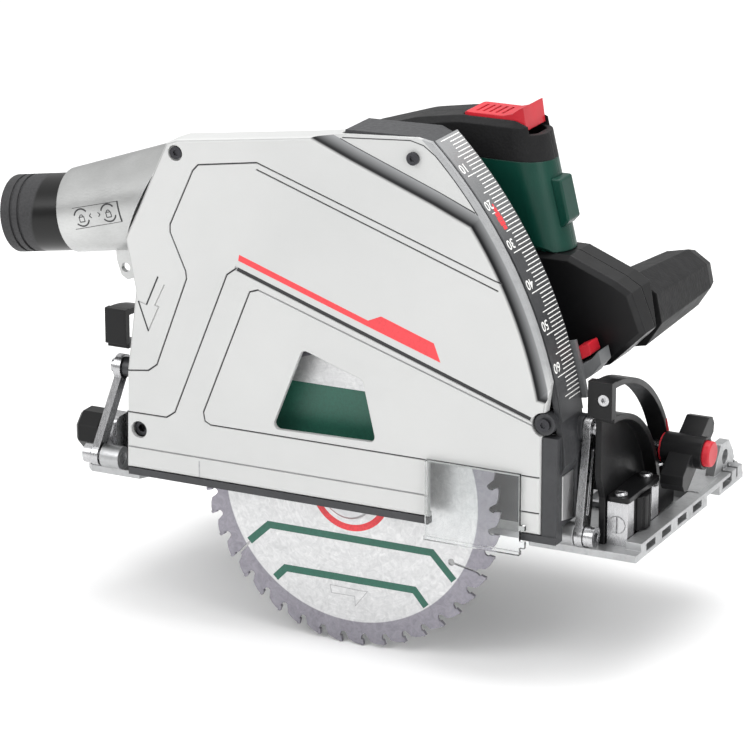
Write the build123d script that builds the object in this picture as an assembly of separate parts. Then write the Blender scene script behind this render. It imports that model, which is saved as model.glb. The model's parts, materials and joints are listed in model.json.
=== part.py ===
from build123d import *
import math
import os

# Track plunge saw, resting fully plunged. Millimetres, +X forward, +Y towards the motor, +Z up.
# Origin: on the cut line, in the blade's mid-plane, at the sole, straight under the arbor.

# ---- driving dimensions -------------------------------------------------------------------
BLADE_R = 82.5              # 165 mm blade
GULLET_R = 76.3             # root of the teeth
BLADE_PLATE = 1.4           # body thickness
BLADE_KERF = 2.0            # carbide tip width
TEETH = 42
ARBOR_Z = 16.5              # arbor height at full plunge, so 66 mm of blade stand below the sole
BORE_R = 10.0               # 20 mm blade bore
SLOT_HOLE_R = 63.0          # holes that end the three expansion slots
SLOT_HOLE_ANGLE = 92.0
FLANGE_R = 15.0

PIVOT = (-112.0, 35.0)      # plunge axis, in X and Z
TILT = (6.0, 10.0)          # tilt axis, in Y and Z

COVER_Y = -15.0             # outer face of the side cover
COVER_SKIN = 2.4
RAMP_R = 223.0              # foot of the ramp round the cover's front corner, about the plunge axis
RAMP_ANGLES = (12.0, 35.0)
RAMP_DEPTH = 3.2
RAMP_TAPER = 66.0
HOUSING_BACK = 12.0         # motor side of the guard's back wall
RIM_R = 232.0               # front rim of the guard, about the plunge axis
SCALE_R = 232.7             # outer face of the depth scale
RIM_TOP_ANGLE = 46.1
RIM_LOW_ANGLE = 3.5

BASE_X = (-156.0, 151.5)
BASE_Y = (5.0, 158.0)
BASE_TOP = 4.0
SOLE_Z = 0.4                # underside of the casting, just above the glide strips
GROOVE_Y = (97.0, 114.0)    # groove that rides on the guide rail
GROOVE_TOP = 5.4

BRACKET_FRONT_X = (128.0, 138.0)
BRACKET_REAR_X = (-142.0, -130.0)
SLOT_R = (62.0, 76.5)       # inner and outer radius of the tilt slot
BAND = 3.0                  # thickness of the bands either side of that slot
CLAMP = (70.0, 38.0)        # tilt clamp bolt, in Y and Z
FRONT_EYE = (15.0, 62.0)    # upper eyes of the swing arms, in Y and Z
REAR_EYE = (16.0, 56.0)

GEAR_LINE = (100.0, 110.0)  # directions spindle to countershaft and countershaft to rotor, degrees
FINE_MODULE = 1.25          # rotor pinion and big gear
COARSE_MODULE = 1.5         # countershaft pinion and spindle gear
ROTOR_TEETH = 11
WHEEL_TEETH = 45
PINION_TEETH = 14
SPINDLE_TEETH = 16
PRESSURE_ANGLE = 25.0
BACKLASH = 0.16

HANDLE_Y = (33.0, 63.0)     # width of the main handle
HANDLE_MID = 48.0
MOTOR_R = 40.0
MOTOR_Y = (44.4, 150.0)

RUNNING = 0.05              # radial clearance of a running fit


# ---- helpers -------------------------------------------------------------------------------
def at_angle(center, radius, degrees):
    """Point at a radius and an angle about a centre."""
    turn = math.radians(degrees)
    return (center[0] + radius * math.cos(turn), center[1] + radius * math.sin(turn))


def block(x, y, z):
    """Box between three pairs of limits."""
    size = Box(x[1] - x[0], y[1] - y[0], z[1] - z[0])
    return Pos((x[0] + x[1]) / 2, (y[0] + y[1]) / 2, (z[0] + z[1]) / 2) * size


def outline(points, radius=0.0):
    """Flat face from a closed outline, its corners rounded if a radius is given."""
    if radius:
        return make_face(FilletPolyline(*points, radius=radius, close=True))
    return make_face(Polyline(*points, close=True))


def along_y(face, y):
    """Extrude an X-Z face between two Y limits."""
    return extrude(Plane.XZ.offset(-y[0]) * face, amount=-(y[1] - y[0]))


def along_x(face, x):
    """Extrude a Y-Z face between two X limits."""
    return extrude(Plane.YZ.offset(x[0]) * face, amount=x[1] - x[0])


def along_z(face, z):
    """Extrude an X-Y face between two Z limits."""
    return extrude(Plane.XY.offset(z[0]) * face, amount=z[1] - z[0])


def disc(center, radius, inner=0.0):
    """Round face, with a round hole if an inner radius is given."""
    face = Pos(center[0], center[1]) * Circle(radius)
    if inner:
        face -= Pos(center[0], center[1]) * Circle(inner)
    return face


def rod_y(center, radius, y, inner=0.0):
    return along_y(disc(center, radius, inner), y)


def rod_x(center, radius, x, inner=0.0):
    return along_x(disc(center, radius, inner), x)


def rod_z(center, radius, z, inner=0.0):
    return along_z(disc(center, radius, inner), z)


def rod_between(start, end, radius, end_radius=None):
    """Round bar or cone from one point to another."""
    path = Vector(*end) - Vector(*start)
    plane = Plane(origin=start, z_dir=path)
    if end_radius is None or end_radius == radius:
        return Solid.make_cylinder(radius, path.length, plane)
    return Solid.make_cone(radius, end_radius, path.length, plane)


def sector(center, radii, angles):
    """Ring sector between two radii and two angles, as a face."""
    inner, outer = radii
    low, high = angles
    outside = [at_angle(center, outer, angle) for angle in (low, (low + high) / 2, high)]
    inside = [at_angle(center, inner, angle) for angle in (high, (low + high) / 2, low)]
    ends = [Line(outside[2], inside[0]), Line(inside[2], outside[0])]
    return make_face([ThreePointArc(*outside), ThreePointArc(*inside)] + ends)


def group(shapes):
    """One node made of several separate solids."""
    solids = []
    for shape in shapes:
        solids.extend(shape.solids())
    return Compound(solids)


def socket_screw_y(center, y_head, depth, length, radius=2.6):
    """Round head with a six-sided socket facing -Y, and its shank towards +Y."""
    head = rod_y(center, radius, (y_head, y_head + depth))
    head -= along_y(Pos(*center) * RegularPolygon(radius * 0.5, 6), (y_head, y_head + depth * 0.6))
    return head + rod_y(center, radius * 0.55, (y_head + depth, y_head + length))


def socket_screw_x(center, x_face, depth, length, radius, sign=1):
    """Round head with a six-sided socket facing +X or -X, and its shank the other way."""
    inner = x_face - sign * depth
    tip = x_face - sign * length
    head = rod_x(center, radius, sorted((x_face, inner)))
    socket = Pos(*center) * RegularPolygon(radius * 0.5, 6)
    head -= along_x(socket, sorted((x_face, x_face - sign * depth * 0.6)))
    return head + rod_x(center, radius * 0.55, sorted((inner, tip)))


# ---- gear train ----------------------------------------------------------------------------
ARBOR = (0.0, ARBOR_Z)
COARSE_CENTER = COARSE_MODULE * (PINION_TEETH + SPINDLE_TEETH) / 2
FINE_CENTER = FINE_MODULE * (ROTOR_TEETH + WHEEL_TEETH) / 2
COUNTER = at_angle(ARBOR, COARSE_CENTER, GEAR_LINE[0])
ROTOR = at_angle(COUNTER, FINE_CENTER, GEAR_LINE[1])


def involute(angle):
    return math.tan(angle) - angle


def gear(center, teeth, module, y, tooth_angle, bore):
    """Spur gear with involute flanks; one tooth is centred on tooth_angle (degrees)."""
    pitch_r = module * teeth / 2
    base_r = pitch_r * math.cos(math.radians(PRESSURE_ANGLE))
    tip_r = pitch_r + 0.9 * module
    root_r = pitch_r - 1.15 * module
    half_tooth = (math.pi * module / 2 - BACKLASH) / 2 / pitch_r
    start_r = max(base_r, root_r)
    steps = 4
    flank = []
    for step in range(steps + 1):
        radius = start_r + (tip_r - start_r) * step / steps
        spread = involute(math.acos(base_r / radius)) - involute(math.radians(PRESSURE_ANGLE))
        flank.append((radius, half_tooth - spread))
    points = []
    pitch = 2 * math.pi / teeth
    for tooth in range(teeth):
        middle = math.radians(tooth_angle) + tooth * pitch
        rise = [(root_r, -flank[0][1])] + [(radius, -half) for radius, half in flank]
        fall = [(radius, half) for radius, half in reversed(flank)] + [(root_r, flank[0][1])]
        if root_r >= base_r:
            rise = rise[1:]
            fall = fall[:-1]
        for radius, turn in rise + fall:
            points.append(at_angle(center, radius, math.degrees(middle + turn)))
    face = outline(points)
    if bore:
        face -= disc(center, bore)
    return along_y(face, y)


def bearing(center, bore, outer, y):
    """Ball bearing as one ring, with a shallow groove in each face."""
    ring = rod_y(center, outer, y, bore)
    mid = (bore + outer) / 2
    wide = (outer - bore) * 0.16
    ring -= rod_y(center, mid + wide, (y[0], y[0] + 0.5), mid - wide)
    ring -= rod_y(center, mid + wide, (y[1] - 0.5, y[1]), mid - wide)
    return ring


# ---- blade and spindle ---------------------------------------------------------------------
def saw_blade():
    """Toothed disc with expansion slots and a carbide tip on every tooth."""
    points = []
    pitch = 360.0 / TEETH
    profile = [
        (GULLET_R + 2.6, 0.00), (GULLET_R + 0.9, 0.03), (GULLET_R, 0.13), (GULLET_R + 0.3, 0.24),
        (GULLET_R + 1.9, 0.33), (BLADE_R - 2.3, 0.42), (BLADE_R - 1.2, 0.62), (BLADE_R - 0.6, 0.82),
        (BLADE_R - 0.4, 0.985),
    ]
    for tooth in range(TEETH):
        for radius, share in profile:
            points.append(at_angle(ARBOR, radius, pitch * (tooth + share)))
    body = along_y(outline(points), (-BLADE_PLATE / 2, BLADE_PLATE / 2))
    body -= rod_y(ARBOR, BORE_R, (-BLADE_PLATE, BLADE_PLATE))
    for index in range(3):
        hole = SLOT_HOLE_ANGLE + 120 * index
        gullet = pitch * (11.13 + TEETH / 3 * index)
        slot = [(SLOT_HOLE_R, hole - 0.5), (SLOT_HOLE_R, hole + 0.5)]
        slot += [(GULLET_R + 2.5, gullet + 0.4), (GULLET_R + 2.5, gullet - 0.4)]
        face = outline([at_angle(ARBOR, radius, angle) for radius, angle in slot])
        body -= along_y(face, (-BLADE_PLATE, BLADE_PLATE))
        body -= rod_y(at_angle(ARBOR, SLOT_HOLE_R, hole), 1.8, (-BLADE_PLATE, BLADE_PLATE))
    return group([body] + carbide_tips())


def carbide_tips():
    """Carbide tips, one brazed to the leading face of each tooth."""
    tips = []
    pitch = 360.0 / TEETH
    for tooth in range(TEETH):
        corners = [(BLADE_R, 0.99), (BLADE_R - 0.3, 1.10), (BLADE_R - 3.2, 1.07), (BLADE_R - 3.2, 0.99)]
        face = outline([at_angle(ARBOR, radius, pitch * (tooth + share)) for radius, share in corners])
        tips.append(along_y(face, (-BLADE_KERF / 2, BLADE_KERF / 2)))
    return tips


def blade_flanges():
    """Clamping flanges either side of the blade; the inner one centres it."""
    y_face = BLADE_PLATE / 2 + 0.02
    inner = rod_y(ARBOR, FLANGE_R, (y_face, 5.0), 6.02)
    inner += rod_y(ARBOR, BORE_R - 0.03, (-BLADE_PLATE / 2, y_face), 6.02)
    inner -= rod_y(ARBOR, FLANGE_R - 3.5, (BLADE_PLATE / 2, BLADE_PLATE / 2 + 0.6), BORE_R + 0.5)
    outer = rod_y(ARBOR, FLANGE_R, (-4.4, -y_face), 4.05)
    rim = outer.edges().filter_by(GeomType.CIRCLE).sort_by(Axis.Y)[:2].sort_by(SortBy.RADIUS)[-1:]
    return group([inner, chamfer(rim, 1.2)])


def arbor_bolt():
    head = along_y(Pos(*ARBOR) * RegularPolygon(7.4, 6), (-8.8, -4.42))
    head += rod_y(ARBOR, 8.6, (-5.4, -4.42))
    head -= along_y(Pos(*ARBOR) * RegularPolygon(3.4, 6), (-8.8, -6.0))
    return head + rod_y(ARBOR, 4.0, (-4.42, 14.0))


def spindle():
    shaft = rod_y(ARBOR, 6.0, (-BLADE_PLATE / 2, 28.4))
    shaft += rod_y(ARBOR, 7.4, (5.02, 8.4))
    return shaft - rod_y(ARBOR, 4.02, (-BLADE_PLATE, 16.0))


def spindle_gear():
    direction = GEAR_LINE[0]
    return gear(ARBOR, SPINDLE_TEETH, COARSE_MODULE, (19.4, 27.4), direction, 6.02)


def countershaft():
    """Shaft with its pinion cut in one piece; a tooth gap faces the spindle gear."""
    gap_side = GEAR_LINE[0] + 180 + 180.0 / PINION_TEETH
    pinion = gear(COUNTER, PINION_TEETH, COARSE_MODULE, (19.0, 27.0), gap_side, 0)
    return rod_y(COUNTER, 4.0, (16.6, 43.4)) + pinion


def countershaft_wheel():
    """Big gear; its phase puts a tooth on the line to the rotor."""
    wheel = gear(COUNTER, WHEEL_TEETH, FINE_MODULE, (30.0, 37.0), GEAR_LINE[1], 4.02)
    for index in range(6):
        wheel -= rod_y(at_angle(COUNTER, 16.5, 60 * index), 5.0, (29.0, 38.0))
    return wheel


# ---- motor ---------------------------------------------------------------------------------
def rotor_shaft():
    """Motor shaft with its pinion cut in one piece; a tooth gap faces the big gear."""
    gap_side = GEAR_LINE[1] + 180 + 180.0 / ROTOR_TEETH
    shaft = rod_y(ROTOR, 3.5, (29.6, 60.0)) + rod_y(ROTOR, 4.0, (47.0, 166.0))
    return shaft + gear(ROTOR, ROTOR_TEETH, FINE_MODULE, (29.6, 37.6), gap_side, 0)


def rotor_core():
    core = rod_y(ROTOR, 16.0, (70.0, 118.0), 4.02)
    for index in range(8):
        core -= rod_y(at_angle(ROTOR, 11.0, 45 * index), 1.8, (69.0, 119.0))
    return core


def fan():
    wheel = rod_y(ROTOR, 9.0, (52.0, 62.0), 4.02) + rod_y(ROTOR, 33.0, (60.0, 61.6), 4.02)
    for index in range(11):
        turn = 360.0 / 11 * index
        inner = at_angle(ROTOR, 10.0, turn)
        outer = at_angle(ROTOR, 32.6, turn + 22)
        side = at_angle((0, 0), 0.9, turn + 100)
        corners = [(inner[0] + side[0], inner[1] + side[1]), (outer[0] + side[0], outer[1] + side[1]),
                   (outer[0] - side[0], outer[1] - side[1]), (inner[0] - side[0], inner[1] - side[1])]
        wheel += along_y(outline(corners), (53.0, 60.4))
    return wheel


def stator():
    """Laminated ring with twelve pole teeth."""
    ring = rod_y(ROTOR, 36.4, (68.0, 120.0), 28.0)
    for index in range(12):
        pole = block((16.9, 29.0), (68.0, 120.0), (-2.2, 2.2))
        pole = Rot(0, -30.0 * index, 0) * pole
        ring += Pos(ROTOR[0], 0, ROTOR[1]) * pole
    return ring - rod_y(ROTOR, 16.9, (67.0, 121.0))


def windings():
    """Twelve copper coils standing out at both ends of the stator."""
    coils = []
    for index in range(12):
        for ends in ((63.0, 67.8), (120.2, 125.0)):
            coil = block((18.5, 26.8), ends, (-3.6, 3.6))
            coil = fillet(coil.edges().filter_by(Axis.Y), 2.0)
            coils.append(Pos(ROTOR[0], 0, ROTOR[1]) * (Rot(0, -30.0 * index, 0) * coil))
    return group(coils)


def motor_housing():
    """Motor barrel with cooling ribs and four screw bosses at its cap end."""
    barrel = rod_y(ROTOR, MOTOR_R, MOTOR_Y, MOTOR_R - 3.0)
    barrel += rod_y(ROTOR, MOTOR_R + 3.0, (MOTOR_Y[0], MOTOR_Y[0] + 6.0), MOTOR_R - 3.0)
    barrel += rod_y(ROTOR, MOTOR_R + 1.6, (MOTOR_Y[1] - 8.0, MOTOR_Y[1]), MOTOR_R - 3.0)
    for index in range(9):
        rib_y = 72.0 + 7.0 * index
        barrel += rod_y(ROTOR, MOTOR_R + 1.2, (rib_y, rib_y + 2.6), MOTOR_R - 1.0)
    return barrel


CAP_END = MOTOR_Y[1] + 24.0
CAP_SCREWS = [at_angle(ROTOR, MOTOR_R - 5.2, 45 + 90 * index) for index in range(4)]


def motor_end_cap():
    """Dished end cap with a ring of air slots and a bearing seat."""
    cap = rod_y(ROTOR, MOTOR_R + 1.6, (MOTOR_Y[1] + 0.1, CAP_END))
    cap = fillet(cap.edges().filter_by(GeomType.CIRCLE).sort_by(Axis.Y)[-1:], 7.0)
    cap -= rod_y(ROTOR, MOTOR_R - 3.0, (MOTOR_Y[1], CAP_END - 4.0))
    cap += rod_y(ROTOR, 14.0, (MOTOR_Y[1] + 6.0, CAP_END - 3.0), 11.05)
    for index in range(16):
        slot = block((20.0, 33.0), (CAP_END - 6.0, CAP_END + 1.0), (-1.5, 1.5))
        cap -= Pos(ROTOR[0], 0, ROTOR[1]) * (Rot(0, -22.5 * index, 0) * slot)
    for center in CAP_SCREWS:
        cap -= rod_y(center, 2.7, (CAP_END - 2.9, CAP_END + 1.0))
        cap -= rod_y(center, 1.7, (CAP_END - 5.0, CAP_END - 2.0))
    return cap


def far_side_screw(center, y_head, depth, length, radius):
    """Screw whose head faces +Y, with a six-sided socket, and its shank towards -Y."""
    head = rod_y(center, radius, (y_head - depth, y_head))
    head -= along_y(Pos(*center) * RegularPolygon(radius * 0.5, 6), (y_head - depth * 0.6, y_head))
    return head + rod_y(center, 1.6, (y_head - length, y_head - depth))


def casing_screws():
    """Screws of the handle halves and of the motor's end cap."""
    screws = [far_side_screw(center, HANDLE_Y[1] + 0.6, 2.4, 5.2, 3.2) for center in HANDLE_SCREWS]
    screws += [far_side_screw(center, CAP_END + 0.6, 3.4, 8.6, 2.6) for center in CAP_SCREWS]
    return group(screws)


# ---- gearbox -------------------------------------------------------------------------------
GEARBOX_Y = (13.4, 44.0)
LOCK_BUTTON = (34.0, 92.0)


def gearbox_profile(grow):
    """Envelope of the gear train; grow is added to every radius."""
    small = disc(ARBOR, 14.2 + grow)
    middle = disc(COUNTER, 30.0 + grow)
    large = disc(ROTOR, 34.0 + grow)
    neck = outline([at_angle(ARBOR, 14.2 + grow, 190), at_angle(ARBOR, 14.2 + grow, 10),
                    at_angle(COUNTER, 30.0 + grow, 20), at_angle(COUNTER, 30.0 + grow, 180)])
    waist = outline([at_angle(COUNTER, 30.0 + grow, 190), at_angle(COUNTER, 30.0 + grow, 20),
                     at_angle(ROTOR, 34.0 + grow, 20), at_angle(ROTOR, 34.0 + grow, 195)])
    return small + middle + large + neck + waist


def gearbox_housing():
    """Cast gearbox: shell, spindle nose, and the forked arm that swings on the plunge pin."""
    shell = along_y(gearbox_profile(1.6), GEARBOX_Y)
    arm = outline([(-112, 26), (-60, 34), (-30, 44), (-30, 84), (-60, 70), (-112, 45)])
    shell += along_y(arm, GEARBOX_Y) + rod_y(PIVOT, 10.0, GEARBOX_Y)
    shell += along_y(outline([(8, 84), (20, 60), (64, 84), (64, 110), (8, 106)]), (24.0, 44.0))
    shell -= along_y(gearbox_profile(0.0), (GEARBOX_Y[0] + 2.6, GEARBOX_Y[1] + 1.0))
    shell -= block((-124, -92), (22.4, 38.4), (20, 52))
    shell += rod_y(ARBOR, 13.4, (6.6, GEARBOX_Y[0] + 0.2), 12.0)
    shell += rod_y(ARBOR, 13.0, (8.6, 18.4), 11.0)
    shell -= rod_y(ARBOR, 11.0, (8.6, 18.4))
    shell -= rod_y(PIVOT, 4.0 + RUNNING, (10, 46))
    shell += rod_y(COUNTER, 9.4, (15.8, 18.2), 8.0)
    shell -= rod_y(LOCK_BUTTON, 4.3, (30.0, 46.0))
    return shell


def gearbox_cover():
    """Flat inner cover between gearbox and motor, with the far bearing seats."""
    plate = along_y(gearbox_profile(-0.3), (40.4, 43.8))
    plate -= rod_y(COUNTER, 8.0, (36, 46))
    return plate - rod_y(ROTOR, 9.5, (36, 46))


def ball_bearings():
    """Bearings of the spindle, the countershaft and the motor."""
    seats = [
        (ARBOR, 6.0, 10.95, (8.7, 13.2)), (ARBOR, 6.0, 10.95, (13.5, 18.0)),
        (COUNTER, 4.0, 7.95, (16.1, 18.2)), (COUNTER, 4.0, 7.95, (40.5, 43.7)),
        (ROTOR, 3.5, 9.45, (40.5, 43.7)), (ROTOR, 4.0, 11.0, (157.0, 164.0)),
    ]
    return group([bearing(center, shaft_r + RUNNING, outer, y) for center, shaft_r, outer, y in seats])


# ---- main handle ---------------------------------------------------------------------------
HANDLE_WALL = 3.0
TRIGGER_PIN = (26.0, 174.0)
DIAL = (-78.0, 122.0)
HANDLE_SCREWS = ((-74.0, 134.5), (74.0, 152.0), (64.0, 192.0), (-40.0, 122.0))
COLLAR_Z = 185.0            # above this the column is soft black, below it the casing is green
COLUMN_LOW = (98.2, 140.0)  # nose line of the front column, in X and Z
COLUMN_HIGH = (83.6, 200.0)
NOSE_R = 14.2
ROCKER_PIN = (44.6, 203.9)  # rear hinge of the plunge release


def handle_outer():
    """Closed loop handle seen from the side."""
    points = [(-92, 115.2), (56, 115.2), (62, 141.0), (98.0, 141.0), COLUMN_HIGH,
              (71, 204.4), (42, 204.4), (18, 200.4), (-16, 189.6), (-52, 168), (-84, 142)]
    radii = [8, 0, 0, 0, 7, 8, 40, 40, 40, 40, 16]
    return make_face(FilletPolyline(*points, radius=radii, close=True))


def handle_window():
    """Finger opening of the main handle."""
    points = [(-56, 129), (36, 129), (54, 146), (52, 168), (30, 178), (6, 175), (-22, 163), (-50, 144)]
    return outline(points, 6.0)


def column_space(inset):
    """Slanted space with a round nose that shapes the front column; inset shrinks it all round."""
    slant = Vector(COLUMN_HIGH[0] - COLUMN_LOW[0], 0, COLUMN_HIGH[1] - COLUMN_LOW[1]).normalized()
    back = Vector(-slant.Z, 0, slant.X)
    depth = 70.0
    origin = Vector(COLUMN_LOW[0], HANDLE_MID, COLUMN_LOW[1]) + back * (depth / 2) - slant * 60
    width = HANDLE_Y[1] - HANDLE_Y[0] - 2 * inset
    face = RectangleRounded(depth - 2 * inset, width, NOSE_R - inset)
    return extrude(Plane(origin=origin, x_dir=back, z_dir=slant) * face, amount=150)


def handle_blank():
    """Hollow loop with rounded edges and screw seats, before it is split into pieces."""
    loop = along_y(handle_outer(), HANDLE_Y) - along_y(handle_window(), (20, 80))
    sides = loop.edges().filter_by(lambda edge: edge.bounding_box().size.Y < 0.01)
    loop = chamfer(sides, 3.0)
    rear = (-100, 55)
    loop &= block(rear, HANDLE_Y, (100, 240)) + column_space(0)
    hollow = offset(handle_outer(), -HANDLE_WALL) - offset(handle_window(), HANDLE_WALL)
    inside = (HANDLE_Y[0] + HANDLE_WALL, HANDLE_Y[1] - HANDLE_WALL)
    loop -= along_y(hollow, inside) & (block(rear, inside, (100, 240)) + column_space(HANDLE_WALL))
    face_y = HANDLE_Y[1]
    for center in HANDLE_SCREWS:
        loop -= rod_y(center, 1.8, (face_y - 5, face_y)) + rod_y(center, 3.3, (face_y - 1.9, face_y + 1))
    return loop


def handle_cutters():
    """Slots for the trigger and the release rocker."""
    trigger_slot = block((20, 50), (40.4, 55.6), (165, 190))
    floor = [(41.7, 201.4), (50, 200.8), (62, 199.4), (76, 197.8), (95, 197.8)]
    rocker_slot = outline([(41.7, 220)] + floor + [(95, 220)])
    plan = outline([(41.7, 36.1), (95, 36.1), (95, 59.9), (41.7, 59.9)], 5.0)
    return trigger_slot + (along_y(rocker_slot, (30, 70)) & along_z(plan, (190, 230)))


RIGHT_HALF = (HANDLE_Y[0] - 1, HANDLE_MID - 0.05)
LEFT_HALF = (HANDLE_MID + 0.05, HANDLE_Y[1] + 1)
SEAM_Z = 131.0              # black grip above, green lower bar below, behind the column


def green_region(y):
    """Space of the green casing: the front column and the lower bar."""
    column = block((36, 110), y, (100, 165)) + block((52.1, 110), y, (100, COLLAR_Z - 0.1))
    return column + block((-100, 36), y, (100, SEAM_Z - 0.1))


def handle_right_shell():
    return (handle_blank() - handle_cutters()) & green_region(RIGHT_HALF)


def handle_left_shell():
    return (handle_blank() - handle_cutters()) & green_region(LEFT_HALF)


def black_region(y):
    """Space of the soft grip: everything above the green casing."""
    front = block((52, 110), y, (COLLAR_Z, 240)) + block((36, 52), y, (165, 240))
    return front + block((-100, 36), y, (SEAM_Z, 240))


def grip_right_half():
    return (handle_blank() - handle_cutters()) & black_region(RIGHT_HALF)


def grip_left_half():
    return (handle_blank() - handle_cutters()) & black_region(LEFT_HALF)


def column_badge():
    """Blank raised pad on the nose of the green column."""
    points = [(84.0, 176.4), (93.0, 176.4), (97.9, 156.2), (94.6, 152.4), (84.0, 152.4)]
    pad = along_y(outline(points, 1.5), (41.0, 55.0))
    return fillet(pad.edges().filter_by(Axis.X), 1.0) - column_space(-0.1)


def trigger():
    """Curved switch lever under the grip; it swings up about its rear pin."""
    points = [(22.0, 176.6), (22.4, 171.5), (30, 169.4), (38, 164.6), (45.5, 163.4), (47.6, 165.6),
              (47.0, 175.0)]
    body = along_y(outline(points, 1.6), (41.2, 54.8))
    return body - rod_y(TRIGGER_PIN, 1.5 + RUNNING, (40, 56))


def handle_pins():
    """Pins of the trigger and of the speed dial."""
    dial = rod_y(DIAL, 1.5, (HANDLE_Y[1] + 0.05, 69.2)) + rod_y(DIAL, 3.0, (69.1, 70.0))
    return group([rod_y(TRIGGER_PIN, 1.5, (40.5, 55.5)), dial])


def switch_module():
    """Sealed switch block in the grip, behind the trigger."""
    body = block((24.0, 47.0), (41.5, 54.5), (181.6, 194.0))
    for x in (28.0, 34.0, 40.0):
        body += block((x, x + 2.6), (44.0, 52.0), (194.0, 196.4))
    return body


def plunge_release():
    """Red rocker on top of the grip, hinged at its rear and ribbed behind its raised thumb stop."""
    face = outline([(44.6, 201.8), (58, 201.8), (66, 201.2), (76.6, 199.6), (74.8, 211.2), (72.6, 210.0),
                    (69, 207.3), (64, 206.0), (44.6, 206.0)])
    width = (36.6, 59.4)
    body = along_y(face, width) + rod_y(ROCKER_PIN, 2.1, width)
    body &= along_z(outline([(42.2, 36.6), (80, 36.6), (80, 59.4), (42.2, 59.4)], 4.5), (195, 215))
    for index in range(5):
        x = 47.6 + 3.4 * index
        body -= block((x, x + 1.3), (41, 55), (205.2, 207))
    return body


def electronics_board():
    """Motor controller card in the lower bar of the handle."""
    board = block((-80, 44), (40, 56), (119.2, 120.8))
    for index in range(4):
        x = -68 + 26 * index
        board += block((x, x + 14), (43, 53), (120.8, 124.4))
    return board


def speed_dial():
    """Knurled thumbwheel at the rear of the lower bar."""
    wheel = rod_y(DIAL, 8.0, (64.0, 69.0), 1.5 + RUNNING)
    for index in range(18):
        wheel -= rod_y(at_angle(DIAL, 8.3, 20 * index), 0.8, (63, 70))
    return wheel


def spindle_lock_button():
    """Push button on the gearbox that holds the spindle for a blade change."""
    cap = rod_y(LOCK_BUTTON, 6.2, (47.4, 51.4))
    cap = fillet(cap.edges().filter_by(GeomType.CIRCLE).sort_by(Axis.Y)[-1:], 1.0)
    return cap + rod_y(LOCK_BUTTON, 4.0, (34.0, 47.6))


# ---- front handle --------------------------------------------------------------------------
def front_handle_bracket():
    """Angular casing that carries the front handle on the gearbox arm."""
    points = [(64.2, 84.4), (112, 84.4), (122.8, 88.2), (141.3, 106.6), (133.5, 126), (125.5, 130.7),
              (101, 140.6), (64.2, 140.6)]
    casing = along_y(outline(points), (34, 62))
    ends = casing.edges().filter_by(Axis.Y, reverse=True).group_by(Axis.Y)
    casing = chamfer(ends[0] + ends[-1], 2.4)
    casing -= along_y(offset(outline(points), -3.5), (37.5, 50.0))
    seam = offset(outline(points), 2) - offset(outline(points), -0.8)
    casing -= along_z(outline([(142, 48.3), (131, 62.5), (146, 62.5), (146, 48.3)]), (80, 145))
    return casing - along_y(seam, (47.7, 48.3))


def front_handle():
    """Eight-sided grip bar that runs across the saw and tapers to a blunt end."""
    sections = []
    root, shoulder, end = (62.1, 19.5, 119.8, 107.8), (129.0, 15.8, 122.4, 107.4), (138.0, 13.2, 122.8, 107.2)
    for y, radius, x, z in (root, shoulder, end):
        sections.append(Plane.XZ.offset(-y) * (Pos(x, z) * (Rot(0, 0, 12) * octagon(radius))))
    return loft(sections, ruled=True)


def octagon(radius):
    corners = [at_angle((0, 0), radius, 22.5 + 45 * index) for index in range(8)]
    return outline(corners)


# ---- guard: housing, cover, scale ----------------------------------------------------------
def rim_face(points, radius, low, high):
    """Face closed by points and the round front rim between two angles."""
    bottom = at_angle(PIVOT, radius, low)
    top = at_angle(PIVOT, radius, high)
    middle = at_angle(PIVOT, radius, (low + high) / 2)
    return make_face([Polyline(bottom, *points, top), ThreePointArc(top, middle, bottom)])


def housing_face():
    points = [(117.5, 44), (117.5, 10.2), (-115, 10.2), (-114.5, 65), (-109.5, 107.8), (-113.5, 134),
              (-91, 181), (-86, 184), (-19, 193), (0, 196), (2, 202.6), (41.6, 203.5)]
    return rim_face(points, RIM_R, RIM_LOW_ANGLE, RIM_TOP_ANGLE)


def cover_face():
    points = [(109.2, 62), (109.2, 14.3), (-119.5, 14.3), (-118.4, 65), (-112.9, 107.8), (-118.3, 134.5),
              (-94.1, 186.1), (-88.1, 188.5), (-19.7, 197.6), (0.3, 200.7), (41.6, 203.4)]
    return rim_face(points, RIM_R, 14.0, RIM_TOP_ANGLE)


COVER_SCREWS = ((-88.8, 181.6), (39.8, 193.4), (110.6, 70.6))


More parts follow.
